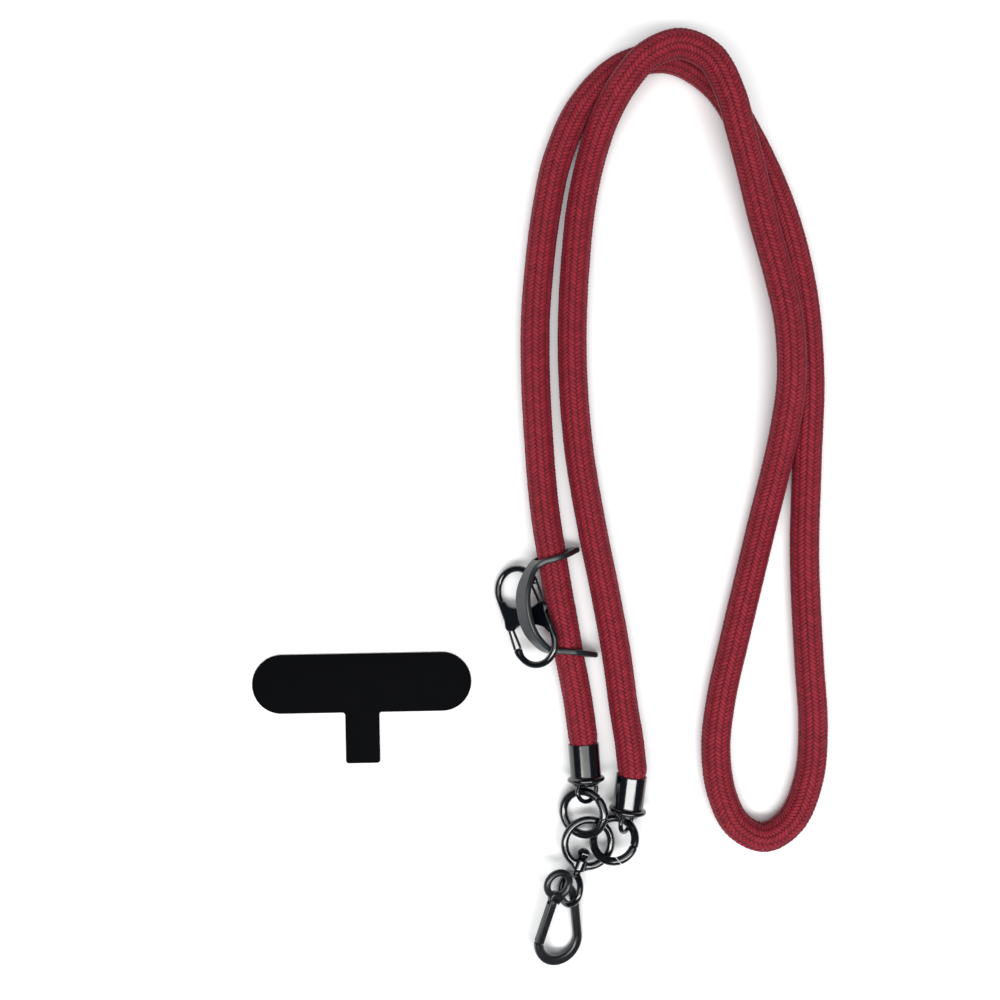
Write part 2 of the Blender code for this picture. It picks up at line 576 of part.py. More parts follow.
def make_slider(place):
    """The slider: one strip bent into a bow, with a holed plate at each end for the rope."""
    data = bpy.data.curves.new("strip", "CURVE")
    data.dimensions = "2D"
    data.fill_mode = "NONE"
    data.extrude = 1.0
    spline = data.splines.new("POLY")
    spline.points.add(len(SLIDER_STATIONS) - 1)
    for index, (across, along, half_width) in enumerate(SLIDER_STATIONS):
        spline.points[index].co = (-across * MM, along * MM, 0.0, 1.0)
        spline.points[index].radius = half_width * MM
    ribbon = bpy.data.objects.new("strip", data)
    ribbon.matrix_world = place
    CUTTERS.objects.link(ribbon)
    made = meshed(ribbon, "adjuster")
    wall = made.modifiers.new("wall", "SOLIDIFY")
    wall.thickness = SLIDER_THICKNESS
    wall.offset = 0.0
    wall.use_even_offset = True
    made = meshed(made, "adjuster")
    widest = max(half_width for _, _, half_width in SLIDER_STATIONS)
    for index, (across, along, half_width) in enumerate(SLIDER_STATIONS):
        if half_width < widest:
            continue
        before, after = SLIDER_STATIONS[index - 1], SLIDER_STATIONS[index + 1]
        run = math.atan2(after[1] - before[1], before[0] - after[0])
        hole = place @ Matrix.Translation((-across * MM, along * MM, 0))
        hole = hole @ Matrix.Rotation(run, 4, "Z") @ Matrix.Rotation(math.radians(90), 4, "X")
        made = combine(made, drum(SLIDER_HOLE / 2, 8 * SLIDER_THICKNESS, hole, 28), "DIFFERENCE")
    return finish(made, "adjuster", BLACK_SATIN)


def clip_turns():
    """The clip's two halves: as drawn, and turned half round."""
    return (Matrix.Identity(4), Matrix.Rotation(math.pi, 4, "Z"))


def make_clip(place):
    """The double clip: a flat centre plate with an open wire loop at each end."""
    half = [Vector((x * MM, y * MM, 0)) for x, y in CLIP_PLATE_HALF]
    outline = half + [-point for point in half]
    data = bpy.data.curves.new("plate", "CURVE")
    data.dimensions = "2D"
    data.fill_mode = "BOTH"
    data.extrude = CLIP_WIRE / 2
    spline = data.splines.new("POLY")
    spline.points.add(len(outline) - 1)
    for index, point in enumerate(outline):
        spline.points[index].co = (point.x, point.y, 0.0, 1.0)
    spline.use_cyclic_u = True
    plate = bpy.data.objects.new("plate", data)
    plate.matrix_world = place
    CUTTERS.objects.link(plate)
    made = meshed(plate, "double_clip")
    hinge = Vector((*CLIP_HINGE, 0))
    loop_end = Vector((-CLIP_LOOP_RADIUS, 2.5 * MM, 0))
    bend = arc((0, CLIP_LOOP_OFFSET), CLIP_LOOP_RADIUS, 180, CLIP_NOSE_ANGLE, 20)
    for turn in clip_turns():
        loop = meshed(drawn_wire([loop_end, *bend], CLIP_WIRE, place @ turn), "loop")
        made = combine(made, loop, "UNION")
    for turn in clip_turns():
        slot = drum(CLIP_SLOT_DIAMETER / 2, CLIP_SLOT, place @ turn @ Matrix.Translation(hinge), 24)
        made = combine(made, slot, "DIFFERENCE")
    return finish(made, "double_clip", BLACK_GLOSS)


def make_clip_gate(name, place, turn):
    """One wire gate: a narrow hairpin on a flat foot; its origin is on its hinge."""
    hinge = place @ turn @ Matrix.Translation((*CLIP_HINGE, 0))
    nose = CLIP_LOOP_OFFSET + CLIP_LOOP_RADIUS * math.sin(math.radians(CLIP_NOSE_ANGLE)) - CLIP_HINGE[1]
    spread = CLIP_GATE_SPREAD / 2
    top = nose - GAP - CLIP_GATE_WIRE / 2 - spread
    points = [Vector((-spread * 0.8, 0, 0)), *arc((0, top), spread, 180, 0, 8), Vector((spread * 0.8, 0, 0))]
    made = meshed(drawn_wire(points, CLIP_GATE_WIRE, hinge, resolution=2), name)
    made = combine(made, drum(CLIP_FOOT_DIAMETER / 2, CLIP_GATE_WIRE, hinge, 20), "UNION")
    made.data.transform(hinge.inverted() @ made.matrix_world)
    made.matrix_world = hinge
    return finish(made, name, BLACK_GLOSS)


def make_tab():
    """The phone tab: a bar with round ends and a stem, cut from flat sheet."""
    radius = TAB_WIDTH / 2
    reach = TAB_LENGTH / 2 - radius
    stem = TAB_STEM_WIDTH / 2
    foot = -radius - TAB_STEM_LENGTH
    outline = arc((reach, 0), radius, -90, 90, 16) + arc((-reach, 0), radius, 90, 270, 16)
    outline += reversed(arc((-stem - TAB_CORNER, -radius - TAB_CORNER), TAB_CORNER, 0, 90, 4))
    outline += arc((-stem + TAB_CORNER, foot + TAB_CORNER), TAB_CORNER, 180, 270, 4)
    outline += arc((stem - TAB_CORNER, foot + TAB_CORNER), TAB_CORNER, 270, 360, 4)
    outline += reversed(arc((stem + TAB_CORNER, -radius - TAB_CORNER), TAB_CORNER, 90, 180, 4))
    data = bpy.data.curves.new("tab", "CURVE")
    data.dimensions = "2D"
    data.fill_mode = "BOTH"
    data.extrude = TAB_THICKNESS / 2
    spline = data.splines.new("POLY")
    spline.points.add(len(outline) - 1)
    for index, point in enumerate(outline):
        spline.points[index].co = (point.x, point.y, 0.0, 1.0)
    spline.use_cyclic_u = True
    made = bpy.data.objects.new("tab", data)
    middle = lay((*TAB_BAR_CENTRE, 0)) + Vector((0, 0, TAB_THICKNESS / 2))
    made.matrix_world = Matrix.Translation(middle) @ Matrix.Rotation(math.radians(TAB_TURN), 4, "Z")
    CUTTERS.objects.link(made)
    return finish(meshed(made, "phone_tab"), "phone_tab", TAB_FINISH, smooth=False)


def main():
    """Builds every piece in its place in the lay."""
    cap_left = cap_matrix(CAP_LEFT_BEAD, CAP_LEFT_LEAN, CAP_LEFT_RISE)
    cap_right = cap_matrix(CAP_RIGHT_BEAD, CAP_RIGHT_LEAN, CAP_RIGHT_RISE)
    make_rope(cap_left, cap_right)
    make_cap("end_cap_left", cap_left, CAP_LEFT_LOOP_TURN)
    make_cap("end_cap_right", cap_right, CAP_RIGHT_LOOP_TURN)
    for side, centre, normal, hinge in (
        ("left", RING_LEFT_CENTRE, RING_LEFT_NORMAL, RING_LEFT_HINGE),
        ("right", RING_RIGHT_CENTRE, RING_RIGHT_NORMAL, RING_RIGHT_HINGE),
    ):
        place = seated(lay(centre), normal, 0)
        make_ring("gate_ring_" + side, place, hinge)
        make_ring_gate("ring_gate_" + side, place, hinge)
    swivel = seated(lay(SWIVEL_RING_CENTRE), SWIVEL_RING_NORMAL, SWIVEL_LEAN)
    make_swivel_ring(swivel)
    make_swivel_eye(swivel)
    hook = seated(lay(HOOK_EYE_CENTRE), HOOK_NORMAL, HOOK_LEAN)
    make_hook_body(hook)
    make_hook_gate(hook)
    make_hook_rivet(hook)
    slider = seated(lay((*SLIDER_MIDDLE, 0)) + Vector((0, 0, SLIDER_HEIGHT)), (0, 0, 1), SLIDER_LEAN)
    make_slider(slider @ Matrix.Rotation(math.radians(SLIDER_ROLL), 4, "Y"))
    clip = seated(lay(CLIP_CENTRE), CLIP_NORMAL, CLIP_LEAN)
    make_clip(clip)
    for name, turn in zip(("clip_gate_upper", "clip_gate_lower"), clip_turns()):
        make_clip_gate(name, clip, turn)
    make_tab()


for old in list(bpy.data.objects):
    bpy.data.objects.remove(old)
PARTS = new_collection("phone_crossbody_strap")
CUTTERS = new_collection("cutters")
ROPE_FINISH = principled("red_braid", (0.26, 0.02, 0.035), 0.8)
BLACK_GLOSS = principled("black_gloss_plating", (0.015, 0.018, 0.022), 0.18, 0.6)
BLACK_SATIN = principled("black_satin_plating", (0.02, 0.024, 0.028), 0.38, 0.6)
BLACK_MATT = principled("black_matt_coating", (0.016, 0.018, 0.02), 0.5, 0.2)
TAB_FINISH = principled("tab_sheet", (0.004, 0.005, 0.008), 0.7)
main()
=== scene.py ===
"""The looks of the phone crossbody strap: braid, plated hardware and case tab, lit in a studio.

Sizes are in metres unless a name or a comment says millimetres. Z is up and the table is at zero.
"""

import logging
import math
from dataclasses import dataclass, field
from enum import Enum

import bmesh
import bpy
from mathutils import Matrix, Vector


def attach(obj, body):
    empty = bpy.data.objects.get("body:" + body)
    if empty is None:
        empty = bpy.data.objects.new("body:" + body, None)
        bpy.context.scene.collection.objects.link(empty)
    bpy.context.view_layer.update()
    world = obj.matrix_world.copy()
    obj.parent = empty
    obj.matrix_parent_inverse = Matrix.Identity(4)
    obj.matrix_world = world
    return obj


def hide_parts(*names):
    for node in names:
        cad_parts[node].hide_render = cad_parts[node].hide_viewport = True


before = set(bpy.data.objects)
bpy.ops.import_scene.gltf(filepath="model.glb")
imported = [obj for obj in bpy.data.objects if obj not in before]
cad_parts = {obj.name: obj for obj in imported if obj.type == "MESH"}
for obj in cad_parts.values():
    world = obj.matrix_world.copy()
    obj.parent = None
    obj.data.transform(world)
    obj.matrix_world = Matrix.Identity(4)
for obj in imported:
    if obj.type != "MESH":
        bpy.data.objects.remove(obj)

LOG = logging.getLogger("phone_strap")
MM = 0.001
UP = Vector((0.0, 0.0, 1.0))
MIDDLE = Vector((0.018387, 0.090265, 0.0))  # the middle of the photographed lay, in the part's frame
Profile = list[tuple[float, float]]
Outline = tuple[tuple[float, float], ...]
Triple = tuple[float, float, float]
Stations = tuple[Triple, ...]
Object = bpy.types.Object
Material = bpy.types.Material
Node = bpy.types.Node
Socket = bpy.types.NodeSocket


class Body(Enum):
    """The rigid bodies that the pieces ride on."""

    STRAP = "strap"
    HOOK = "swivel_hook"
    HOOK_GATE = "hook_gate"
    RING_GATE_LEFT = "ring_gate_left"
    RING_GATE_RIGHT = "ring_gate_right"
    CLIP_GATE_UPPER = "clip_gate_upper"
    CLIP_GATE_LOWER = "clip_gate_lower"


class Slot(Enum):
    """The record's material slots."""

    BRAID = "red_braid"
    GLOSS = "black_gloss_plating"
    SATIN = "black_satin_plating"
    MATT = "black_matt_coating"
    TAB = "tab_sheet"


def lay(x: float, y: float, z: float) -> Vector:
    """Puts a place of the lay, in millimetres from its middle, into the part's frame."""
    return Vector((x * MM, y * MM, z * MM)) + MIDDLE


def arc(x: float, y: float, radius: float, start: float, end: float, steps: int) -> list[Vector]:
    """Points of an arc in the XY plane.

    Args:
        x: Centre across.
        y: Centre along.
        radius: Radius of the arc.
        start: First angle, in degrees.
        end: Last angle, in degrees.
        steps: Number of chords.

    Returns:
        steps + 1 points.
    """
    turns = (math.radians(start + (end - start) * step / steps) for step in range(steps + 1))
    return [Vector((x + radius * math.cos(a), y + radius * math.sin(a), 0.0)) for a in turns]


def in_plane(outline: Outline, scale: float = MM) -> list[Vector]:
    """Points of the XY plane, from a table in millimetres or of another scale."""
    return [Vector((x * scale, y * scale, 0)) for x, y in outline]


def turned_by(degrees: float, axis: str = "Z") -> Matrix:
    """A turn about one axis."""
    return Matrix.Rotation(math.radians(degrees), 4, axis)


def facing(along: Vector, further: float = 0.0) -> Matrix:
    """A turn about Z that takes X to a direction of the XY plane, and some degrees further."""
    return Matrix.Rotation(math.atan2(along.y, along.x) + math.radians(further), 4, "Z")


def up_the_lay(lean: float) -> Vector:
    """The direction up the lay, turned anticlockwise by some degrees."""
    return Vector((-math.sin(math.radians(lean)), math.cos(math.radians(lean)), 0.0))


def framed(origin: Vector, x_axis: Vector, y_axis: Vector, z_axis: Vector) -> Matrix:
    """The matrix of a frame with these axes."""
    return Matrix.Translation(origin) @ Matrix((x_axis, y_axis, z_axis)).transposed().to_4x4()


def seated(origin: Vector, normal: Triple, lean: float) -> Matrix:
    """Matrix of a flat piece: Z along its normal, Y as near as it can be to up the lay.

    Args:
        origin: Where the piece's own origin goes.
        normal: Direction that its face looks in.
        lean: Turn of its long axis, anticlockwise seen from above, in degrees.

    Returns:
        The placing matrix.
    """
    z_axis = Vector(normal).normalized()
    plan = up_the_lay(lean)
    y_axis = (plan - Vector((0.0, 0.0, plan.dot(z_axis) / z_axis.z))).normalized()
    return framed(origin, y_axis.cross(z_axis), y_axis, z_axis)


def smooth_line(stations: list[Vector], step: int) -> list[Vector]:
    """A centripetal Catmull-Rom line through the stations.

    Args:
        stations: Points that the line goes through.
        step: Number of points for each stretch.

    Returns:
        The points of the line.
    """
    ends = [2 * stations[0] - stations[1], *stations, 2 * stations[-1] - stations[-2]]
    line = []
    for before, here, there, after in zip(ends, ends[1:], ends[2:], ends[3:]):
        spans = ((before, here), (here, there), (there, after))
        first, middle, last = (math.sqrt((b - a).length) for a, b in spans)
        run = (there - here) / middle
        leave = ((here - before) / first - (there - before) / (first + middle) + run) * middle
        reach = (run - (after - here) / (middle + last) + (after - there) / last) * middle
        for count in range(step):
            t = count / step
            line.append(
                here * (2 * t**3 - 3 * t**2 + 1) + leave * (t**3 - 2 * t**2 + t)
                + there * (3 * t**2 - 2 * t**3) + reach * (t**3 - t**2))
    line.append(stations[-1])
    return line


def even_line(points: list[Vector], spacing: float) -> list[Vector]:
    """Points at an even spacing along a line.

    Args:
        points: The line.
        spacing: Distance wanted between points.

    Returns:
        The evenly spaced points, with both ends kept.
    """
    lengths = [0.0]
    for first, second in zip(points, points[1:]):
        lengths.append(lengths[-1] + (second - first).length)
    count = max(2, round(lengths[-1] / spacing))
    even, index = [], 0
    for sample in range(count + 1):
        want = lengths[-1] * sample / count
        while index < len(points) - 2 and lengths[index + 1] < want:
            index += 1
        stretch = lengths[index + 1] - lengths[index]
        even.append(points[index].lerp(points[index + 1], (want - lengths[index]) / stretch))
    return even


def round_section(radius: float, sides: int) -> Profile:
    """A circle as a section of unit scale."""
    turns = (2 * math.pi * side / sides for side in range(sides))
    return [(radius * math.cos(a), radius * math.sin(a)) for a in turns]


def bar_section(width: float, depth: float, corner: float, steps: int = 5) -> Profile:
    """A rectangle with rounded corners.

    Args:
        width: Size along the section's first axis.
        depth: Size along its second axis.
        corner: Radius of the corners.
        steps: Chords of each corner.

    Returns:
        The outline, anticlockwise.
    """
    outline = []
    for quarter, (sx, sy) in enumerate(((1, 1), (-1, 1), (-1, -1), (1, -1))):
        for step in range(steps + 1):
            a = math.radians(90 * quarter + 90 * step / steps)
            x, y = sx * (width / 2 - corner), sy * (depth / 2 - corner)
            outline.append((x + corner * math.cos(a), y + corner * math.sin(a)))
    return outline


def both_ends(half: Profile) -> Profile:
    """A lathe profile that is the same at both ends, from its upper half, axis first."""
    return [(radius, -height) for radius, height in half] + half[::-1]


def blunted(steps: int, shares: Triple) -> float:
    """The share of its section that a bar keeps some steps from its end."""
    return shares[steps] if steps < len(shares) else 1.0


def linked(name: str, data: bpy.types.ID) -> Object:
    """Makes an object in the scene.

    Args:
        name: The object's name.
        data: What it shows.

    Returns:
        The object.
    """
    made = bpy.data.objects.new(name, data)
    bpy.context.scene.collection.objects.link(made)
    return made


@dataclass
class Shape:
    """A growing mesh of closed shells, in the frame of its maker."""

    verts: list[Vector] = field(default_factory=list)
    faces: list[tuple[int, ...]] = field(default_factory=list)

    def add(self, verts: list[Vector], faces: list[tuple[int, ...]]) -> "Shape":
        """Adds one more shell and returns the shape, as every method that adds does.

        Args:
            verts: Its points.
            faces: Its faces, as indices of those points.

        Returns:
            The shape.
        """
        start = len(self.verts)
        self.verts += verts
        self.faces += [tuple(start + corner for corner in face) for face in faces]
        return self

    def sweep(
        self, line: list[Vector], sections: list[Profile], matrix: Matrix = Matrix.Identity(4),
        closed: bool = False, up: Vector | None = None,
    ) -> "Shape":
        """Adds a bar along a line.

        Args:
            line: The bar's centre line.
            sections: One outline for each point, or a single one for all.
            matrix: Where the bar goes.
            closed: Whether the line's end meets its start.
            up: Direction that the sections' second axis keeps, for a flat line.

        Returns:
            The shape.
        """
        count, last = len(line), len(line) - 1
        sections = sections * count if len(sections) == 1 else sections
        sides = len(sections[0])
        verts, side_axis = [], None
        for index, point in enumerate(line):
            ahead = line[(index + 1) % count] if closed else line[min(index + 1, last)]
            behind = line[index - 1] if closed else line[max(index - 1, 0)]
            tangent = (ahead - behind).normalized()
            if up is not None:
                side_axis = tangent.cross(up).normalized()
            elif side_axis is None:
                side_axis = tangent.orthogonal().normalized()
            else:
                side_axis = (side_axis - tangent * side_axis.dot(tangent)).normalized()
            other = side_axis.cross(tangent)
            verts += [matrix @ (point + side_axis * x + other * y) for x, y in sections[index]]
        rings = count if closed else last
        faces = []
        for ring in range(rings):
            here, there = ring * sides, (ring + 1) % count * sides
            for side in range(sides):
                after = (side + 1) % sides
                faces.append((here + side, here + after, there + after, there + side))
        if not closed:
            faces.append(tuple(reversed(range(sides))))
            faces.append(tuple(range(last * sides, count * sides)))
        return self.add(verts, faces)

    def hoop(self, radius: float, wire: float, steps: int, matrix: Matrix, start: float = 0.0) -> "Shape":
        """Adds a closed ring of round wire."""
        line = arc(0, 0, radius, start, start + 360, steps)[:-1]
        return self.sweep(line, [round_section(wire / 2, 28)], matrix, closed=True)

    def turned(self, profile: Profile, matrix: Matrix, steps: int) -> "Shape":
        """Adds a lathe-turned shell.

        Args:
            profile: Radius and height of each point, with both ends on the axis.
            matrix: Where it goes, with the axis along Z.
            steps: Facets round the axis.

        Returns:
            The shape.
        """
        verts = [matrix @ Vector((0, 0, profile[0][1])), matrix @ Vector((0, 0, profile[-1][1]))]
        for radius, height in profile[1:-1]:
            for step in range(steps):
                a = 2 * math.pi * step / steps
                verts.append(matrix @ Vector((radius * math.cos(a), radius * math.sin(a), height)))
        faces = []
        rows = len(profile) - 2
        for step in range(steps):
            after = (step + 1) % steps
            faces.append((0, 2 + step, 2 + after))
            faces.append((1, 2 + (rows - 1) * steps + after, 2 + (rows - 1) * steps + step))
            for row in range(rows - 1):
                here, there = 2 + row * steps, 2 + (row + 1) * steps
                faces.append((here + step, there + step, there + after, here + after))
        return self.add(verts, faces)

    def disc(self, radius: float, low: float, high: float, matrix: Matrix, steps: int = 48) -> "Shape":
        """Adds a plain turned disc between two heights."""
        return self.turned([(0, low), (radius, low), (radius, high), (0, high)], matrix, steps)

    def ball(self, radius: float, matrix: Matrix, steps: int = 32) -> "Shape":
        """Adds a ball."""
        half = [math.radians(-90 + 360 * step / steps) for step in range(steps // 2 + 1)]
        profile = [(radius * max(0.0, math.cos(a)), radius * math.sin(a)) for a in half]
        return self.turned(profile, matrix, steps)

    def slab(self, outline: list[Vector], thickness: float, matrix: Matrix, edge: float = 0.0) -> "Shape":
        """Adds a flat plate, centred on its plane.

        Args:
            outline: Its outline, either way round.
            thickness: Its thickness.
            matrix: Where it goes.
            edge: Width of the bevel on its edges.

        Returns:
            The shape.
        """
        count, half = len(outline), thickness / 2
        area = sum(a.x * b.y - b.x * a.y for a, b in zip(outline, [*outline[1:], outline[0]]))
        inward = math.copysign(edge, area)
        inner = []
        for index, point in enumerate(outline):
            along = (outline[(index + 1) % count] - outline[index - 1]).normalized()
            inner.append(point + Vector((-along.y, along.x, 0)) * inward)
        levels = [(inner, half), (outline, half - edge), (outline, edge - half), (inner, -half)]
        levels = levels if edge else [levels[0], levels[-1]]
        verts = [matrix @ (point + Vector((0, 0, height))) for ring, height in levels for point in ring]
        last = (len(levels) - 1) * count
        faces = [tuple(range(count)), tuple(reversed(range(last, last + count)))]
        for low in range(0, last, count):
            for here in range(count):
                after = (here + 1) % count
                faces.append((low + here, low + count + here, low + count + after, low + after))
        return self.add(verts, faces)

    def box(self, low: Triple, high: Triple, matrix: Matrix) -> "Shape":
        """Adds a block between two corners.

        Args:
            low: Its lowest corner.
            high: Its highest corner.
            matrix: Where it goes.

        Returns:
            The shape.
        """
        (left, near, under), (right, far, over) = low, high
        outline = in_plane(((left, near), (right, near), (right, far), (left, far)), 1.0)
        return self.slab(outline, over - under, matrix @ Matrix.Translation((0, 0, (under + over) / 2)))

    def past_seam(self, place: Matrix, at: Vector, along: Vector, gap: float) -> "Shape":
        """Adds the room on one side of a straight seam.

        Args:
            place: Where the seam's piece is.
            at: A point of the seam.
            along: Direction across the seam, into the room.
            gap: Width of the seam.

        Returns:
            The shape.
        """
        reach = 7 * MM
        outline = in_plane(((0, -1), (1, -1), (1, 1), (0, 1)), reach)
        return self.slab(outline, reach, place @ Matrix.Translation(at - along * gap / 2) @ facing(along))

    def to_object(self, name: str) -> Object:
        """Makes the mesh object, with its faces outwards.

        Args:
            name: The object's name.

        Returns:
            The object.
        """
        mesh = bpy.data.meshes.new(name)
        mesh.from_pydata([tuple(vert) for vert in self.verts], [], self.faces)
        work = bmesh.new()
        work.from_mesh(mesh)
        bmesh.ops.recalc_face_normals(work, faces=work.faces)
        work.to_mesh(mesh)
        work.free()
        return linked(name, mesh)


def baked(made: Object) -> Object:
    """Turns an object's live modifiers into its plain mesh and takes them off.

    Args:
        made: The object.

    Returns:
        The same object.
    """
    bpy.context.view_layer.update()
    graph = bpy.context.evaluated_depsgraph_get()
    mesh = bpy.data.meshes.new_from_object(made.evaluated_get(graph))
    made.modifiers.clear()
    made.data = mesh
    mesh.name = made.name
    return made


def cut(made: Object, tool: Shape) -> Object:
    """Takes a tool's solid away from a piece.

    Args:
        made: The piece.
        tool: The room to take away.

    Returns:
        The same piece.
    """
    cutter = tool.to_object("tool")
    step = made.modifiers.new("cut", "BOOLEAN")
    step.operation = "DIFFERENCE"
    step.solver = "EXACT"
    step.object = cutter
    baked(made)
    bpy.data.objects.remove(cutter)
    return made


def soften(made: Object, width: float, segments: int = 2, angle: float = 50.0) -> None:
    """Bevels the edges of a piece that turn by more than an angle in degrees.

    Args:
        made: The piece.
        width: Width of the bevel.
        segments: Steps of the bevel.
        angle: The least turn of an edge that is bevelled, in degrees.
    """
    bevel = made.modifiers.new("edge", "BEVEL")
    bevel.width = width
    bevel.segments = segments
    bevel.limit_method = "ANGLE"
    bevel.angle_limit = math.radians(angle)
    baked(made)


def cast(made: Object, grain: float, rounds: int) -> Object:
    """Melts a piece's overlapping shells into one skin with rounded joints.

    Args:
        made: The piece.
        grain: Size of the skin's facets.
        rounds: How often the skin is smoothed.

    Returns:
        The same piece.
    """
    remesh = made.modifiers.new("skin", "REMESH")
    remesh.mode = "VOXEL"
    remesh.voxel_size = grain
    remesh.use_smooth_shade = True
    smooth = made.modifiers.new("polish", "SMOOTH")
    smooth.factor = 0.5
    smooth.iterations = rounds
    return baked(made)


def dressed(
    made: Object, material: Material, body: Body,
    nodes: tuple[str, ...] = (), sharp: float = 35.0,
) -> Object:
    """Gives a finished piece its material and its body, and hides the CAD nodes that it stands for.

    Args:
        made: The piece.
        material: Its finish.
        body: The body that it rides on.
        nodes: CAD nodes that it replaces.
        sharp: Angle in degrees above which an edge stays sharp.

    Returns:
        The same piece.
    """
    made.data.materials.clear()
    made.data.materials.append(material)
    if made.type == "MESH":
        made.data.shade_smooth()
        made.data.set_sharp_from_angle(angle=math.radians(sharp))
        made.data.calc_loop_triangles()
        LOG.info("%s: %d triangles", made.name, len(made.data.loop_triangles))
    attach(made, body.value)
    if nodes:
        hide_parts(*nodes)
    return made


class Nodes:
    """A small helper that adds and links nodes in one tree."""

    def __init__(self, tree: bpy.types.NodeTree) -> None:
        """Keeps the tree."""
        self.tree = tree

    def feed(self, node: Node, values: dict[str | int, object]) -> Node:
        """Fills a node's inputs.

        Args:
            node: The node.
            values: For each input, a socket to link or a plain value.

        Returns:
            The same node.
        """
        for key, value in values.items():
            if isinstance(value, Socket):
                self.tree.links.new(value, node.inputs[key])
            else:
                node.inputs[key].default_value = value
        return node

    def add(self, kind: str, values: dict[str | int, object] | None = None, **settings: object) -> Node:
        """Adds a node.

        Args:
            kind: The node's type name.
            values: What goes into its inputs.
            **settings: The node's own settings.

        Returns:
            The node.
        """
        node = self.tree.nodes.new(kind)
        for key, value in settings.items():
            setattr(node, key, value)
        return self.feed(node, values or {})

    def math(self, operation: str, *values: object) -> Socket:
        """Adds a Math node and returns its result."""
        return self.add("ShaderNodeMath", dict(enumerate(values)), operation=operation).outputs[0]

    def centred(self, value: Socket, reach: object) -> Socket:
        """Moves a value from between 0 and 1 to both sides of 0, over a reach in all."""
        return self.math("MULTIPLY", self.math("SUBTRACT", value, 0.5), reach)

    def vector(self, operation: str, *values: object) -> Socket:
        """Adds a Vector Math node and returns its vector."""
        return self.add("ShaderNodeVectorMath", dict(enumerate(values)), operation=operation).outputs[0]

    def scaled(self, vector: Socket, share: Socket) -> Socket:
        """Scales a vector by a number and returns it."""
        return self.add("ShaderNodeVectorMath", {0: vector, "Scale": share}, operation="SCALE").outputs[0]

    def noise(self, place: Socket, scale: float, detail: float) -> Socket:
        """Adds a noise over a place and returns its grey value."""
        values = {"Vector": place, "Scale": scale, "Detail": detail}
        return self.add("ShaderNodeTexNoise", values).outputs["Fac"]

    def blend(self, share: Socket, first: Triple, second: Triple) -> Socket:
        """Mixes two colours and returns the mixture."""
        values = {0: share, 6: (*first, 1), 7: (*second, 1)}
        return self.add("ShaderNodeMix", values, data_type="RGBA").outputs[2]

    def bump(self, height: Socket, distance: float, strength: float) -> Socket:
        """Adds a bump and returns its normal."""
        values = {"Height": height, "Distance": distance, "Strength": strength}
        return self.add("ShaderNodeBump", values).outputs[0]


def new_material(name: str) -> tuple[Material, Nodes, Node]:
    """Makes a material with nodes.

    Args:
        name: The material's name.

    Returns:
        The material, its node helper and its shader.
    """
    made = bpy.data.materials.new(name)
    made.use_nodes = True
    return made, Nodes(made.node_tree), made.node_tree.nodes["Principled BSDF"]


@dataclass(frozen=True)
class Plating:
    """Black plated or coated metal with fine unevenness and slight wear."""

    name: str
    colour: Triple
    worn: Triple
    roughness: float
    spread: float  # how far the roughness wanders to either side
    ior: float
    grain: float  # noise scale of the fine relief
    relief: float  # strength of that relief
    patches: float = 420.0  # noise scale of the wear
    grain_height: float = 0.04 * MM

    def build(self) -> Material:
        """Makes the material.

        Returns:
            A Principled material that reads Object coordinates.
        """
        made, nodes, shader = new_material(self.name)
        place = nodes.add("ShaderNodeTexCoord").outputs["Object"]
        cloud = nodes.noise(place, self.patches, 3.0)
        rough = nodes.add("ShaderNodeMapRange", {
            "Value": cloud, "From Min": 0.3, "From Max": 0.7,
            "To Min": self.roughness - self.spread, "To Max": self.roughness + self.spread}).outputs[0]
        nodes.feed(shader, {
            "Base Color": nodes.blend(cloud, self.colour, self.worn), "Roughness": rough, "IOR": self.ior,
            "Normal": nodes.bump(nodes.noise(place, self.grain, 2.0), self.grain_height, self.relief)})
        return made


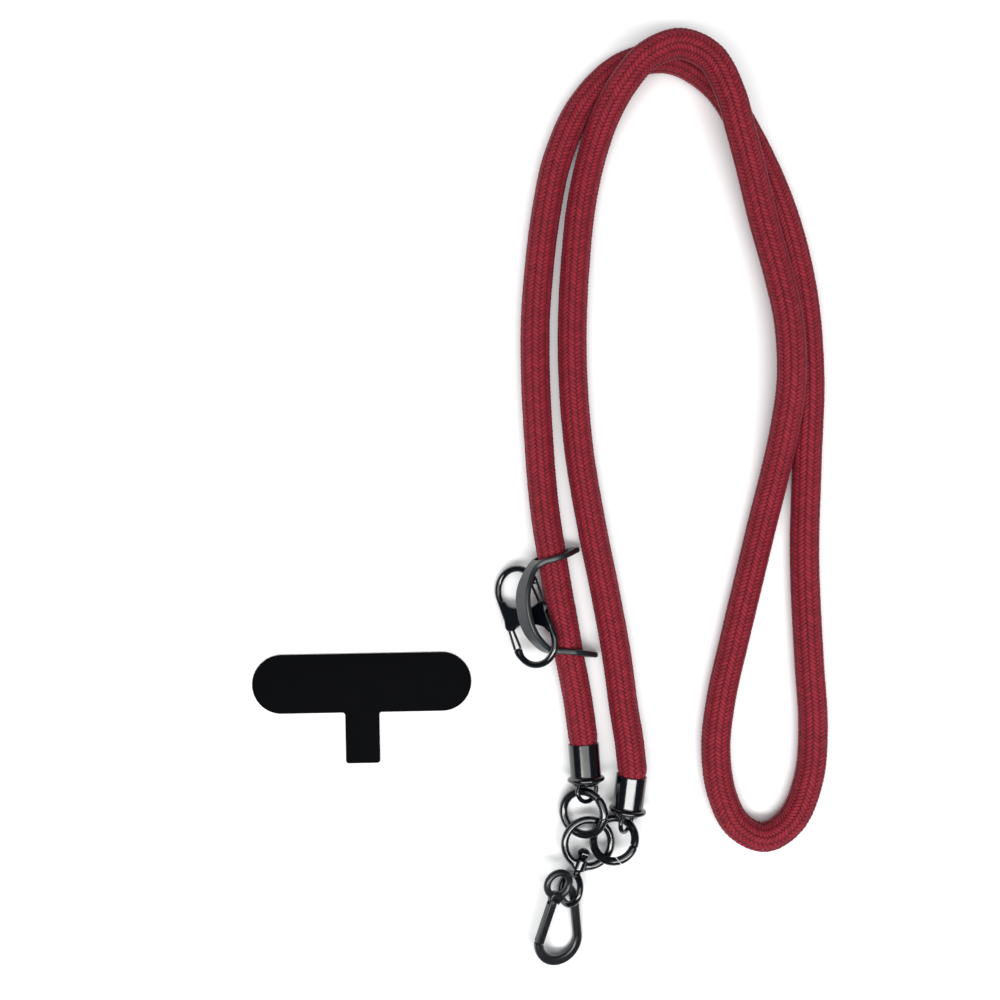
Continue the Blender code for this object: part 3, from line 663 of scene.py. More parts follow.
@dataclass(frozen=True)
class Yarn:
    """Polyester yarn of the braid: lit crests, painted shade on the flanks and in the gaps, and fine
    filaments along each float.
    """

    name: str = "braid_yarn"
    crest: Triple = (0.235, 0.013, 0.026)
    # The flank and gap colours are painted shade: darker colour put on the floats' flanks and in the gaps
    # between floats.
    flank_shade: Triple = (0.125, 0.0045, 0.011)
    gap: Triple = (0.030, 0.0008, 0.004)
    filaments: float = 6.0
    crest_until: float = 0.4  # depth in the float where the crest's colour ends
    flank_at: float = 0.7
    gap_shade_from: float = 0.98
    wander: float = 0.12  # how far the filaments stray
    wander_scale: float = 900.0
    relief_height: float = 0.05 * MM
    relief: float = 0.55
    roughness: float = 0.62
    ior: float = 1.3
    sheen: float = 0.10
    sheen_tint: Triple = (0.9, 0.55, 0.65)

    def build(self) -> Material:
        """Makes the material.

        Returns:
            A Principled material that reads the floats' own map, tone and depth.
        """
        made, nodes, shader = new_material(self.name)
        chart = nodes.add("ShaderNodeUVMap", uv_map="Float").outputs[0]
        along, across, _ = nodes.add("ShaderNodeSeparateXYZ", {0: chart}).outputs
        tone, depth = (
            nodes.add("ShaderNodeAttribute", attribute_name=name).outputs["Fac"]
            for name in ("tone", "depth"))
        wander = nodes.noise(nodes.add("ShaderNodeTexCoord").outputs["Object"], self.wander_scale, 2.0)
        waved = nodes.math("ADD", across, nodes.centred(wander, self.wander))
        lines = nodes.math("SINE", nodes.math("MULTIPLY", waved, self.filaments * 2 * math.pi))
        lifted = nodes.math("MULTIPLY_ADD", lines, 0.5, 0.5)
        # Depth below the crest picks the colour: the crest's own colour, then painted shade on the flanks and
        # in the gaps.
        ramp = nodes.add("ShaderNodeValToRGB", {0: depth})
        low, high = ramp.color_ramp.elements
        low.position, low.color = self.crest_until, (*self.crest, 1)
        high.position, high.color = self.gap_shade_from, (*self.gap, 1)
        ramp.color_ramp.elements.new(self.flank_at).color = (*self.flank_shade, 1)
        # Random tone per float is the yarn's own; the filament stripes then paint shade, darker in the
        # grooves between filaments.
        shade = nodes.math("MULTIPLY_ADD", tone, 0.34, 0.83)
        shade = nodes.math("MULTIPLY", shade, nodes.math("MULTIPLY_ADD", lifted, 0.24, 0.86))
        height = nodes.math("ADD", nodes.math("MULTIPLY", lifted, 0.6), nodes.math("MULTIPLY", wander, 0.4))
        nodes.feed(shader, {
            "Base Color": nodes.scaled(ramp.outputs["Color"], shade), "IOR": self.ior,
            "Normal": nodes.bump(height, self.relief_height, self.relief),
            "Roughness": nodes.math("MULTIPLY_ADD", along, 0.02, self.roughness),
            "Sheen Weight": self.sheen, "Sheen Roughness": 0.4, "Sheen Tint": (*self.sheen_tint, 1)})
        return made


@dataclass(frozen=True)
class Sheet:
    """The case tab's dark sheet with a faint grain."""

    name: str = "case_tab_sheet"
    face: Triple = (0.0006, 0.0007, 0.0010)
    scuffed: Triple = (0.0016, 0.0018, 0.0024)
    roughness: float = 0.62
    ior: float = 1.12
    patches: float = 160.0
    grain: float = 5200.0
    grain_height: float = 0.03 * MM
    relief: float = 0.3

    def build(self) -> Material:
        """Makes the material.

        Returns:
            A Principled material that reads Object coordinates.
        """
        made, nodes, shader = new_material(self.name)
        place = nodes.add("ShaderNodeTexCoord").outputs["Object"]
        cloud, grain = nodes.noise(place, self.patches, 5.0), nodes.noise(place, self.grain, 2.0)
        nodes.feed(shader, {
            "Base Color": nodes.blend(cloud, self.face, self.scuffed), "IOR": self.ior,
            "Roughness": nodes.math("MULTIPLY_ADD", cloud, 0.14, self.roughness),
            "Normal": nodes.bump(grain, self.grain_height, self.relief)})
        return made


@dataclass
class Finishes:
    """Every finish of the strap, made once."""

    gloss: Material = field(default_factory=lambda: Plating(
        name="gloss_black", colour=(0.0010, 0.0016, 0.0030), worn=(0.0018, 0.0026, 0.0045),
        roughness=0.15, spread=0.03, ior=1.75, grain=2600.0, relief=0.10).build())
    satin: Material = field(default_factory=lambda: Plating(
        name="satin_black", colour=(0.0040, 0.0075, 0.0100), worn=(0.0075, 0.0115, 0.0145),
        roughness=0.42, spread=0.05, ior=1.62, grain=5200.0, relief=0.22).build())
    matt: Material = field(default_factory=lambda: Plating(
        name="matt_black", colour=(0.0022, 0.0030, 0.0045), worn=(0.0040, 0.0050, 0.0070),
        roughness=0.34, spread=0.05, ior=1.6, grain=5200.0, relief=0.20).build())
    yarn: Material = field(default_factory=lambda: Yarn().build())
    tab: Material = field(default_factory=lambda: Sheet().build())


@dataclass
class EndCap:
    """A turned cap on one end of the rope, with its bead, shoulder and wire loop."""

    name: str
    bead_at: Triple
    lean: float
    rise: float
    loop_turn: float
    outer: float = 10.8 * MM
    bore: float = 9.8 * MM
    length: float = 12.4 * MM
    recess: float = 3.0 * MM
    bead: float = 13.2 * MM
    bead_thickness: float = 1.5 * MM
    shoulder: float = 8.0 * MM
    shoulder_length: float = 2.4 * MM
    loop_radius: float = 4.7 * MM
    loop_depth: float = 4.1 * MM
    loop_wire: float = 1.6 * MM
    loop_drop: float = 3.7 * MM
    loop_foot: float = 3.1 * MM
    lip: float = 0.18 * MM

    def matrix(self) -> Matrix:
        """Where the cap is: origin at its bead, Z towards its mouth, X level.

        Returns:
            The placing matrix.
        """
        z_axis = (up_the_lay(self.lean) - UP * math.tan(math.radians(self.rise))).normalized()
        x_axis = UP.cross(z_axis).normalized()
        return framed(lay(*self.bead_at), x_axis, z_axis.cross(x_axis), z_axis)

    def profile(self) -> Profile:
        """The cap's lathe profile, from the floor of its recess over the bead to the shoulder's end.

        Returns:
            Radius and height of each point.
        """
        wall, half, top, lip = self.outer / 2, self.bead_thickness / 2, self.length, self.lip
        points = [
            (0.0, top - self.recess), (self.bore / 2, top - self.recess), (self.bore / 2, top - lip),
            (self.bore / 2 + 0.4 * lip, top - 0.2 * lip), (wall - 0.8 * lip, top),
            (wall - 0.2 * lip, top - 0.3 * lip), (wall, top - lip), (wall, top - 2 * lip),
            (wall, half + 1.0 * MM), (wall, half + 0.7 * MM), (wall + 0.15 * MM, half + 0.3 * MM),
            (self.bead / 2 - 0.7 * MM, half + 0.05 * MM)]
        for step in range(7):
            a = math.radians(78 - 156 * step / 6)
            points.append((self.bead / 2 - half + half * math.cos(a), half * math.sin(a)))
        points += [(wall, -half - 0.15 * MM), (wall - 0.2 * MM, -half - 0.4 * MM)]
        for step in range(5):
            a = math.radians(20 + 70 * step / 4)
            across = self.shoulder / 2 - 1.0 * MM + 1.0 * MM * math.cos(a) + 0.5 * MM * math.cos(a)
            points.append((across, -self.shoulder_length + 0.9 * MM - 0.9 * MM * math.sin(a)))
        return [*points, (0.0, -self.shoulder_length)]

    def loop(self) -> list[Vector]:
        """The centre line of the wire loop, whose ends sit in the shoulder.

        Returns:
            The line's points, in the cap's frame.
        """
        deepen, foot = self.loop_depth / self.loop_radius, self.loop_foot
        bend = [
            Vector((point.x, 0.0, point.y * deepen - self.loop_drop))
            for point in arc(0, 0, self.loop_radius, 180, 360, 28)[::2]]
        inside = self.loop_wire / 2 - self.shoulder_length
        ends = ((foot, inside + 0.6 * MM), (foot + 0.5 * MM, inside))
        left = [Vector((-across, 0, height)) for across, height in ends]
        right = [Vector((across, 0, height)) for across, height in reversed(ends)]
        return smooth_line([*left, *bend, *right], 4)

    def build(self, finishes: Finishes) -> None:
        """Turns the cap and bends its loop.

        Args:
            finishes: The strap's finishes.
        """
        place = self.matrix()
        shape = Shape().turned(self.profile(), place, 96)
        shape.sweep(self.loop(), [round_section(self.loop_wire / 2, 20)], place @ turned_by(self.loop_turn))
        dressed(shape.to_object(self.name + "_dress"), finishes.gloss, Body.STRAP, (self.name,))


@dataclass
class BraidedRope:
    """The round braided rope: a core that is the cord, and a herringbone of yarn floats over it."""

    diameter: float = 10.0 * MM
    core_share: float = 0.88
    core_neck: float = 0.80
    columns: int = 12
    row_pitch: float = 1.39 * MM
    slant: float = 57.0
    float_length: float = 3.8 * MM
    float_width: float = 1.36 * MM
    float_rise: float = 0.24 * MM
    float_dive: float = 0.46 * MM
    lengths: int = 3
    crest_radius: float = 5.18 * MM
    squeeze: float = 0.935
    neck: float = 2.0 * MM
    unevenness: float = 0.12
    float_lift: float = 0.08 * MM
    seed: int = 11
    route: Stations = (
        (27.4, -70.5, 5.6), (25.7, -61.5, 6.4), (24.0, -53.3, 7.5), (22.3, -43.1, 7.6),
        (20.3, -32.2, 7.6), (18.2, -19.6, 7.5), (16.4, -8.4, 6.4), (15.0, 3.5, 5.3),
        (13.9, 17.6, 5.0), (12.6, 41.0, 5.0), (12.5, 63.5, 5.0), (13.7, 80.4, 5.0),
        (16.2, 100.9, 5.0), (20.7, 121.5, 5.0), (29.6, 140.0, 5.0), (43.5, 152.8, 5.0),
        (60.3, 155.6, 5.0), (75.4, 147.0, 5.0), (86.4, 130.5, 5.0), (99.1, 103.0, 5.0),
        (106.6, 74.0, 5.0), (109.2, 44.1, 5.0), (108.3, 14.0, 5.0), (107.4, -20.0, 5.0),
        (109.0, -56.4, 5.0), (110.4, -80.0, 5.0), (108.9, -98.0, 5.0), (102.8, -112.8, 5.0),
        (93.3, -118.9, 5.0), (84.0, -114.8, 5.0), (78.4, -104.2, 5.0), (76.1, -88.0, 5.0),
        (78.0, -70.0, 5.0), (82.6, -49.5, 5.0), (88.0, -27.0, 5.0), (92.7, -7.5, 5.0),
        (96.5, 8.5, 6.2), (99.2, 23.5, 9.2), (101.2, 42.0, 11.7), (100.3, 61.8, 11.6),
        (97.1, 78.0, 10.6), (91.9, 96.8, 10.4), (86.7, 115.6, 12.7), (82.8, 128.3, 14.5),
        (79.3, 140.0, 15.3), (72.6, 152.3, 15.0), (61.9, 157.1, 15.0), (50.7, 152.9, 15.1),
        (42.7, 144.2, 13.0), (36.8, 134.0, 9.2), (32.3, 121.0, 5.4), (28.7, 104.1, 5.0),
        (26.6, 84.0, 5.0), (25.5, 62.0, 5.0), (25.9, 40.0, 5.0), (28.0, 16.5, 5.0),
        (32.4, -9.5, 5.0), (36.9, -31.7, 5.0), (41.0, -54.0, 5.0), (43.7, -74.0, 5.4),
        (45.3, -84.0, 6.4),
    )

    def line(self, left: EndCap, right: EndCap) -> list[Vector]:
        """The rope's centre line from its seat in one cap to its seat in the other.

        Args:
            left: The cap at its first end.
            right: The cap at its last end.

        Returns:
            The line's points.
        """
        seats = (left.length - left.recess + 0.3 * MM, left.length)
        necks = [cap.matrix() @ (UP * (cap.length + self.neck)) for cap in (left, right)]
        start = [left.matrix() @ (UP * reach) for reach in seats]
        end = [right.matrix() @ (UP * reach) for reach in reversed(seats)]
        return start + smooth_line([necks[0], *(lay(*place) for place in self.route), necks[1]], 16) + end

    def curve(self, name: str, line: list[Vector], spacing: float) -> Object:
        """Makes one open curve along the line.

        Args:
            name: The curve's name.
            line: The line.
            spacing: Distance between its points.

        Returns:
            The curve.
        """
        data = bpy.data.curves.new(name, "CURVE")
        data.dimensions = "3D"
        data.twist_mode = "MINIMUM"
        spline = data.splines.new("POLY")
        points = even_line(line, spacing)
        spline.points.add(len(points) - 1)
        for index, point in enumerate(points):
            spline.points[index].co = (*point, 1.0)
        return linked(name, data)

    def make_core(self, line: list[Vector]) -> Object:
        """Makes the core under the floats, which stands in for the rope.

        Args:
            line: The rope's centre line.

        Returns:
            The core.
        """
        core = self.curve("rope_core", line, 2.0 * MM)
        core.data.bevel_depth = self.core_share * self.diameter / 2
        core.data.bevel_resolution = 4
        core.data.use_fill_caps = True
        points = core.data.splines[0].points
        for index in range(3):
            points[index].radius = points[-1 - index].radius = self.core_neck / self.core_share
        return core

    def float_mesh(self) -> Object:
        """One puffed float of yarn, along X, with its map and its depth below the crest.

        Returns:
            The float that the braid repeats.
        """
        across, along = 4, 6
        verts, faces, chart, depth = [], [], [], []
        for row in range(along + 1):
            u = 2 * row / along - 1
            for column in range(across + 1):
                v = 2 * column / across - 1
                narrow = 1 - 0.28 * abs(u) ** 3
                fall = self.float_rise * abs(v) ** 2.2 + self.float_dive * abs(u) ** 3.2
                verts.append((u * self.float_length / 2, v * narrow * self.float_width / 2, -fall))
                chart.append(((u + 1) / 2, (v + 1) / 2))
                # Depth: 0 on the crest, 1 at the float's ends and sides; the yarn paints shade by it.
                depth.append(min(1.0, 0.85 * abs(v) ** 2.4 + 0.98 * abs(u) ** 2.8))
        for row in range(along):
            for column in range(across):
                here = row * (across + 1) + column
                faces.append((here, here + across + 1, here + across + 2, here + 1))
        mesh = bpy.data.meshes.new("float")
        mesh.from_pydata(verts, [], faces)
        layer = mesh.uv_layers.new(name="Float")
        for loop in mesh.loops:
            layer.data[loop.index].uv = chart[loop.vertex_index]
        deep = mesh.attributes.new("depth", "FLOAT", "POINT")
        for index, value in enumerate(depth):
            deep.data[index].value = value
        return linked("float", mesh)

    def braid_tree(self) -> bpy.types.NodeTree:
        """Geometry nodes that lay floats in a herringbone round a route.

        Returns:
            The tree, with named inputs for the route, the float and the sizes.
        """
        tree = bpy.data.node_groups.new("herringbone_braid", "GeometryNodeTree")
        for kind, names in {
            "Object": ("Route", "Float"), "Material": ("Finish",),
            "Int": ("Columns", "First Row", "Rows", "Seed"),
            "Float": (
                "Row Pitch", "Column Pitch", "Slant", "Radius", "Unevenness", "Neck", "Squeeze", "Length"),
        }.items():
            for name in names:
                tree.interface.new_socket(name, in_out="INPUT", socket_type="NodeSocket" + kind)
        tree.interface.new_socket("Mesh", in_out="OUTPUT", socket_type="NodeSocketGeometry")
        nodes = Nodes(tree)
        given = nodes.add("NodeGroupInput").outputs
        count = nodes.math("MULTIPLY", given["Columns"], given["Rows"])
        points = nodes.add("GeometryNodePoints", {"Count": count}).outputs[0]
        index = nodes.add("GeometryNodeInputIndex").outputs[0]
        column = nodes.math("FLOORED_MODULO", index, given["Columns"])
        past = nodes.math("FLOOR", nodes.math("DIVIDE", index, given["Columns"]))
        row = nodes.math("ADD", past, given["First Row"])
        odd = nodes.math("FLOORED_MODULO", column, 2.0)
        along = nodes.math("MULTIPLY", nodes.math("MULTIPLY_ADD", odd, 0.5, row), given["Row Pitch"])
        around = nodes.math("MULTIPLY", column, given["Column Pitch"])
        chance, other = (
            nodes.add("FunctionNodeRandomValue", {"Seed": seed}, data_type="FLOAT").outputs["Value"]
            for seed in (given["Seed"], nodes.math("ADD", given["Seed"], 7.0)))
        lift = nodes.centred(other, self.float_lift)
        spot = nodes.add("ShaderNodeCombineXYZ", {0: along, 1: around, 2: lift}).outputs[0]
        placed = nodes.add("GeometryNodeSetPosition", {"Geometry": points, "Position": spot}).outputs[0]
        hand = nodes.math("MULTIPLY_ADD", odd, -2.0, 1.0)
        sway = nodes.centred(chance, given["Unevenness"])
        slant = nodes.math("MULTIPLY_ADD", hand, given["Slant"], sway)
        turn = nodes.add("ShaderNodeCombineXYZ", {2: slant}).outputs[0]
        strand = nodes.add("GeometryNodeObjectInfo", {"Object": given["Float"]}).outputs["Geometry"]
        copies = nodes.add("GeometryNodeInstanceOnPoints", {
            "Points": placed, "Instance": strand, "Rotation": turn}).outputs[0]
        tones = nodes.add("GeometryNodeStoreNamedAttribute", {
            "Geometry": copies, "Name": "tone", "Value": other}, data_type="FLOAT", domain="INSTANCE")
        real = nodes.add("GeometryNodeRealizeInstances", {"Geometry": tones.outputs[0]}).outputs[0]
        spread = nodes.add("ShaderNodeSeparateXYZ", {0: nodes.add("GeometryNodeInputPosition").outputs[0]})
        reach, side, height = spread.outputs
        route = nodes.add("GeometryNodeObjectInfo", {"Object": given["Route"]}).outputs["Geometry"]
        on_route = {"Curves": route, "Length": reach}
        where = nodes.add("GeometryNodeSampleCurve", on_route, mode="LENGTH").outputs
        binormal = nodes.vector("CROSS_PRODUCT", where["Tangent"], where["Normal"])
        angle = nodes.math("DIVIDE", side, given["Radius"])
        from_end = nodes.math("MINIMUM", reach, nodes.math("SUBTRACT", given["Length"], reach))
        share = nodes.add("ShaderNodeMapRange", {
            "Value": from_end, "From Min": nodes.math("MULTIPLY", given["Neck"], 0.5),
            "From Max": given["Neck"], "To Min": given["Squeeze"], "To Max": 1.0,
        }, interpolation_type="SMOOTHSTEP").outputs[0]
        radial = nodes.math("ADD", nodes.math("MULTIPLY", given["Radius"], share), height)
        out_n = nodes.scaled(where["Normal"], nodes.math("MULTIPLY", radial, nodes.math("COSINE", angle)))
        out_b = nodes.scaled(binormal, nodes.math("MULTIPLY", radial, nodes.math("SINE", angle)))
        bent = nodes.vector("ADD", where["Position"], nodes.vector("ADD", out_n, out_b))
        wrapped = nodes.add("GeometryNodeSetPosition", {"Geometry": real, "Position": bent}).outputs[0]
        finished = nodes.add("GeometryNodeSetMaterial", {"Geometry": wrapped, "Material": given["Finish"]})
        nodes.add("NodeGroupOutput", {0: finished.outputs[0]})
        return tree

    def build(self, left: EndCap, right: EndCap, finishes: Finishes) -> None:
        """Args:
            left: The cap at its first end.
            right: The cap at its last end.
            finishes: The strap's finishes.
        """
        line = self.line(left, right)
        length = sum((b - a).length for a, b in zip(line, line[1:]))
        rows = round(length / self.row_pitch)
        core = self.make_core(line)
        route = self.curve("rope_route", line, 1.0 * MM)
        strand = self.float_mesh()
        tree = self.braid_tree()
        sockets = {item.name: item.identifier for item in tree.interface.items_tree if item.in_out == "INPUT"}
        shared = {
            "Route": route, "Float": strand, "Columns": self.columns, "Row Pitch": length / rows,
            "Column Pitch": 2 * math.pi * self.crest_radius / self.columns, "Slant": math.radians(self.slant),
            "Radius": self.crest_radius, "Unevenness": self.unevenness, "Neck": 2 * (left.recess - 0.3 * MM),
            "Squeeze": self.squeeze, "Length": length, "Finish": finishes.yarn}
        braids = []
        for part in range(self.lengths):
            first, last = rows * part // self.lengths, rows * (part + 1) // self.lengths
            made = linked(f"rope_braid_{part + 1}", bpy.data.meshes.new("braid"))
            wrap = made.modifiers.new("braid", "NODES")
            wrap.node_group = tree
            own = {"First Row": first, "Rows": last - first, "Seed": self.seed + part}
            for name, value in {**shared, **own}.items():
                wrap[sockets[name]] = value
            braids.append(baked(made))
        for spare in (route, strand):
            bpy.data.objects.remove(spare)
        dressed(core, finishes.yarn, Body.STRAP, ("rope",))
        for made in braids:
            dressed(made, finishes.yarn, Body.STRAP, sharp=180.0)
        LOG.info("rope: %.3f m, %d rows of floats", length, rows)


@dataclass
class GateRing:
    """A spring-gate ring: its fixed arc and the arc that opens."""

    side: str
    centre: Triple
    normal: Triple
    hinge_angle: float
    gate_body: Body
    radius: float = 7.58 * MM
    wire: float = 2.9 * MM
    span: float = 50.0
    overrun: float = 24.0
    hinge_gap: float = 0.35 * MM
    gap: float = 0.3 * MM
    pin: float = 1.0 * MM
    pin_stand: float = 0.15 * MM
    edge: float = 0.12 * MM

    def build(self, finishes: Finishes) -> None:
        """Makes the fixed arc and the gate, with the pin that the gate turns on.

        Args:
            finishes: The strap's finishes.
        """
        place = seated(lay(*self.centre), self.normal, 0)
        first, far = self.hinge_angle, self.hinge_angle - self.span
        hinge, free = (arc(0, 0, self.radius, angle, angle, 1)[0] for angle in (first, far))
        at_hinge, along = place @ Matrix.Translation(hinge), (free - hinge).normalized()
        start = first + math.degrees(self.hinge_gap / self.radius)
        ring = self.bent(f"gate_ring_{self.side}_dress", start, far + 360 + self.overrun, 96, place)
        cut(ring, Shape().past_seam(place, free, -along, self.gap))
        cut(ring, Shape().ball(self.wire / 2 + self.hinge_gap, at_hinge))
        soften(ring, self.edge)
        dressed(ring, finishes.gloss, Body.STRAP, ("gate_ring_" + self.side,), 40)
        gate = self.bent(f"ring_gate_{self.side}_dress", first, far - self.overrun, 40, place)
        cut(gate, Shape().past_seam(place, free, along, self.gap))
        soften(gate, self.edge)
        rim, reach = self.pin / 2, self.wire / 2 + self.pin_stand
        knuckle = Shape().ball(self.wire / 2 * 0.998, at_hinge)
        knuckle.turned(both_ends([(0, reach), (rim * 0.8, reach), (rim, reach - 0.1 * MM)]), at_hinge, 24)
        self.join(gate, knuckle.to_object("knuckle"))
        dressed(gate, finishes.gloss, self.gate_body, ("ring_gate_" + self.side,), 40)

    def bent(self, name: str, start: float, end: float, steps: int, place: Matrix) -> Object:
        """Bends the ring's wire from one angle to another."""
        line = arc(0, 0, self.radius, start, end, steps)
        return Shape().sweep(line, [round_section(self.wire / 2, 28)], place).to_object(name)

    def join(self, made: Object, other: Object) -> None:
        """Adds another object's mesh to a piece.

        Args:
            made: The piece.
            other: The object that it takes in.
        """
        work = bmesh.new()
        work.from_mesh(made.data)
        work.from_mesh(other.data)
        work.to_mesh(made.data)
        work.free()
        bpy.data.objects.remove(other)


@dataclass
class Swivel:
    """The ring that holds both gate rings, its flared boss, and the eye that turns in it."""

    centre: Triple = (30.976, -120.838, 5.678)
    normal: Triple = (0.154, -0.053, 1.0)
    lean: float = -21.0
    eye_turn: float = -67.4
    ring_radius: float = 8.35 * MM
    ring_wire: float = 2.7 * MM
    boss_start: float = 5.9 * MM
    boss_end: float = 10.1 * MM
    boss: float = 4.6 * MM
    web: Outline = (
        (2.1, -9.9), (5.7, -7.3), (5.3, -5.9), (3.6, -6.3), (2.2, -6.6),
        (-2.2, -6.6), (-3.6, -6.3), (-5.3, -5.9), (-5.7, -7.3), (-2.1, -9.9),
    )
    web_thickness: float = 2.7 * MM
    pin: float = 2.0 * MM
    head: float = 4.8 * MM
    head_height: float = 3.4 * MM
    eye_distance: float = 17.24 * MM
    eye_radius: float = 5.2 * MM
    eye_wire: float = 2.4 * MM
    play: float = 0.3 * MM

    def build(self, finishes: Finishes) -> None:
        """Casts the ring with its boss, and the headed pin with its eye.

        Args:
            finishes: The strap's finishes.
        """
        place = seated(lay(*self.centre), self.normal, self.lean)
        down = place @ turned_by(90, "X")
        low, high = self.boss_start, self.boss_end
        rim, foot, lip = self.boss / 2, 0.3 * MM, 0.35 * MM
        ring = Shape().hoop(self.ring_radius, self.ring_wire, 120, place)
        ring.slab(in_plane(self.web), self.web_thickness, place, 0.7 * MM)
        barrel = [
            (0, low), (rim - foot, low), (rim, low + foot), (rim, high - lip), (rim - lip, high), (0, high)]
        ring.turned(barrel, down, 48)
        made = cast(ring.to_object("swivel_ring_dress"), 0.14 * MM, 14)
        cut(made, Shape().disc(self.pin / 2 + self.play, low - 4 * MM, high + MM, down, 40))
        dressed(made, finishes.gloss, Body.STRAP, ("swivel_ring",), 60)
        rim, top, neck_end = self.head / 2, low - self.play, self.eye_distance - self.eye_radius
        crown = top - self.head_height
        head = [
            (0, crown), (rim * 0.45, crown), (rim * 0.62, crown + 0.15 * MM), (rim * 0.98, crown + 1.1 * MM),
            (rim, crown + 1.5 * MM), (rim * 0.96, crown + 2.2 * MM), (rim * 0.7, top - 0.12 * MM),
            (rim * 0.6, top), (0, top)]
        eye = Shape().turned(head, down, 6).disc(self.pin / 2, crown + MM, neck_end, down, 32)
        collar = [
            (0, high + self.play), (self.pin / 2 + 0.35 * MM, high + 0.35 * MM),
            (self.pin / 2 + 0.5 * MM, neck_end), (0, neck_end)]
        eye.turned(collar, down, 32)
        around = place @ Matrix.Translation((0, -self.eye_distance, 0)) @ turned_by(self.eye_turn, "Y")
        eye.hoop(self.eye_radius, self.eye_wire, 96, around, 90)
        made = cast(eye.to_object("swivel_eye_dress"), 0.13 * MM, 6)
        dressed(made, finishes.gloss, Body.HOOK, ("swivel_eye",), 60)


@dataclass
class SnapHook:
    """The pear-shaped snap hook with its eye, gate and rivet."""

    centre: Triple = (20.388, -134.217, 9.15)
    normal: Triple = (0.42, -0.20, 1.0)
    lean: float = 0.5
    eye_radius: float = 4.3 * MM
    eye_wire: float = 2.5 * MM
    wire: float = 3.1 * MM
    swell: float = 1.16
    bow_radius: float = 7.5 * MM
    bow_y: float = -21.3 * MM
    bow_x: float = -0.1 * MM
    knee: tuple[float, float] = (5.8 * MM, -5.0 * MM)
    hip: tuple[float, float] = (6.55 * MM, -12.0 * MM)
    arm_top: tuple[float, float] = (4.4 * MM, -1.9 * MM)
    rivet_at: tuple[float, float] = (-2.3 * MM, -6.2 * MM)
    thickness: float = 2.8 * MM
    gate_width: float = 2.8 * MM
    tongue: float = 1.0 * MM
    swing: float = 24.0
    room: float = 4.8 * MM
    gap: float = 0.3 * MM
    lug: Outline = (
        (-1.2, 0.2), (-1.5, 1.4), (-1.1, 3.0), (0.2, 3.9), (1.8, 3.6), (3.2, 2.6), (4.1, 1.5), (4.0, 0.6),
        (3.0, -0.3), (2.1, -1.2), (1.2, -1.4), (0.6, -0.9),
    )
    rivet: float = 1.1 * MM
    rivet_play: float = 0.15 * MM
    rivet_head: float = 2.0 * MM
    rivet_head_height: float = 0.35 * MM

    def seam(self) -> tuple[Vector, Vector, Vector]:
        """The gate's hinge, its free end and the direction between them.

        Returns:
            Both places and the unit direction.
        """
        hinge = Vector((*self.rivet_at, 0))
        free = arc(self.bow_x, self.bow_y, self.bow_radius, 176, 180, 1)[0]
        return hinge, free, (free - hinge).normalized()

    def arm(self) -> tuple[list[Vector], list[Profile]]:
        """The centre line and the sections of the arm and the bow, which swells in its middle.

        Returns:
            The line's points and an outline for each.
        """
        _, free, along = self.seam()
        bow = arc(self.bow_x, self.bow_y, self.bow_radius, 3, -184, 48)
        marks = [Vector((*place, 0)) for place in (self.arm_top, self.knee, self.hip)]
        path = [*smooth_line([*marks, bow[0]], 8)[:-1], *bow, free - along * 4 * MM]
        sections = []
        for index in range(len(path)):
            into_bow = max(0.0, (index - 24) / 48)
            swell = 1 + (self.swell - 1) * math.sin(math.pi * min(1.0, into_bow))
            taper = min(1.0, 0.8 + index / 40)
            wide, deep = self.wire * swell * taper, self.thickness * swell * min(1, taper + 0.1)
            sections.append(bar_section(wide, deep, 1.02 * MM * taper))
        return path, sections

    def build(self, finishes: Finishes) -> None:
        """Makes the hook's body, gate and rivet.

        Args:
            finishes: The strap's finishes.
        """
        place = seated(lay(*self.centre), self.normal, self.lean)
        hinge, free, along = self.seam()
        pivot = place @ Matrix.Translation(hinge)
        body = Shape().hoop(self.eye_radius, self.eye_wire, 96, place)
        body.sweep(*self.arm(), place, up=UP)
        body.slab(in_plane(self.lug), self.thickness, pivot, 0.55 * MM)
        made = cast(body.to_object("hook_body_dress"), 0.17 * MM, 5)
        cut(made, Shape().past_seam(place, free, -along, self.gap))
        clear, middle, far = self.gate_width / 2 + 0.35 * MM, self.tongue / 2, self.thickness
        deep, level = (far - middle) / 2, (far + middle) / 2
        for height in (-level, level):
            cut(made, Shape().disc(clear, -deep, deep, pivot @ Matrix.Translation((0, 0, height))))
        wide = clear + 0.15 * MM
        opened = pivot @ facing(along, self.swing)
        cut(made, Shape().box((0.8 * MM, -wide, -far), (self.room, wide, far), opened))
        cut(made, self.rivet_hole(pivot))
        dressed(made, finishes.matt, Body.HOOK, ("hook_body",), 50)
        self.build_gate(pivot, finishes)
        self.build_rivet(pivot, finishes)

    def rivet_hole(self, pivot: Matrix) -> Shape:
        """The room that the rivet's shank takes."""
        return Shape().disc(self.rivet / 2 + self.rivet_play, -self.thickness, self.thickness, pivot)

    def build_gate(self, pivot: Matrix, finishes: Finishes) -> None:
        """Makes the gate: a bevelled bar, forked and rounded at the rivet.

        Args:
            pivot: The rivet's place.
            finishes: The strap's finishes.
        """
        hinge, free, along = self.seam()
        half, length = self.gate_width / 2, (free - hinge).length - self.gap / 2
        outline = [Vector((length, -half, 0)), Vector((length, half, 0)), *arc(0, 0, half, 90, 270, 20)]
        made = Shape().slab(outline, self.thickness, pivot @ facing(along)).to_object("hook_gate_dress")
        soften(made, 0.45 * MM, 4, 40)
        fork = self.tongue / 2 + 0.3 * MM
        cut(made, Shape().disc(half + 0.3 * MM, -fork, fork, pivot))
        cut(made, self.rivet_hole(pivot))
        dressed(made, finishes.matt, Body.HOOK_GATE, ("hook_gate",), 50)

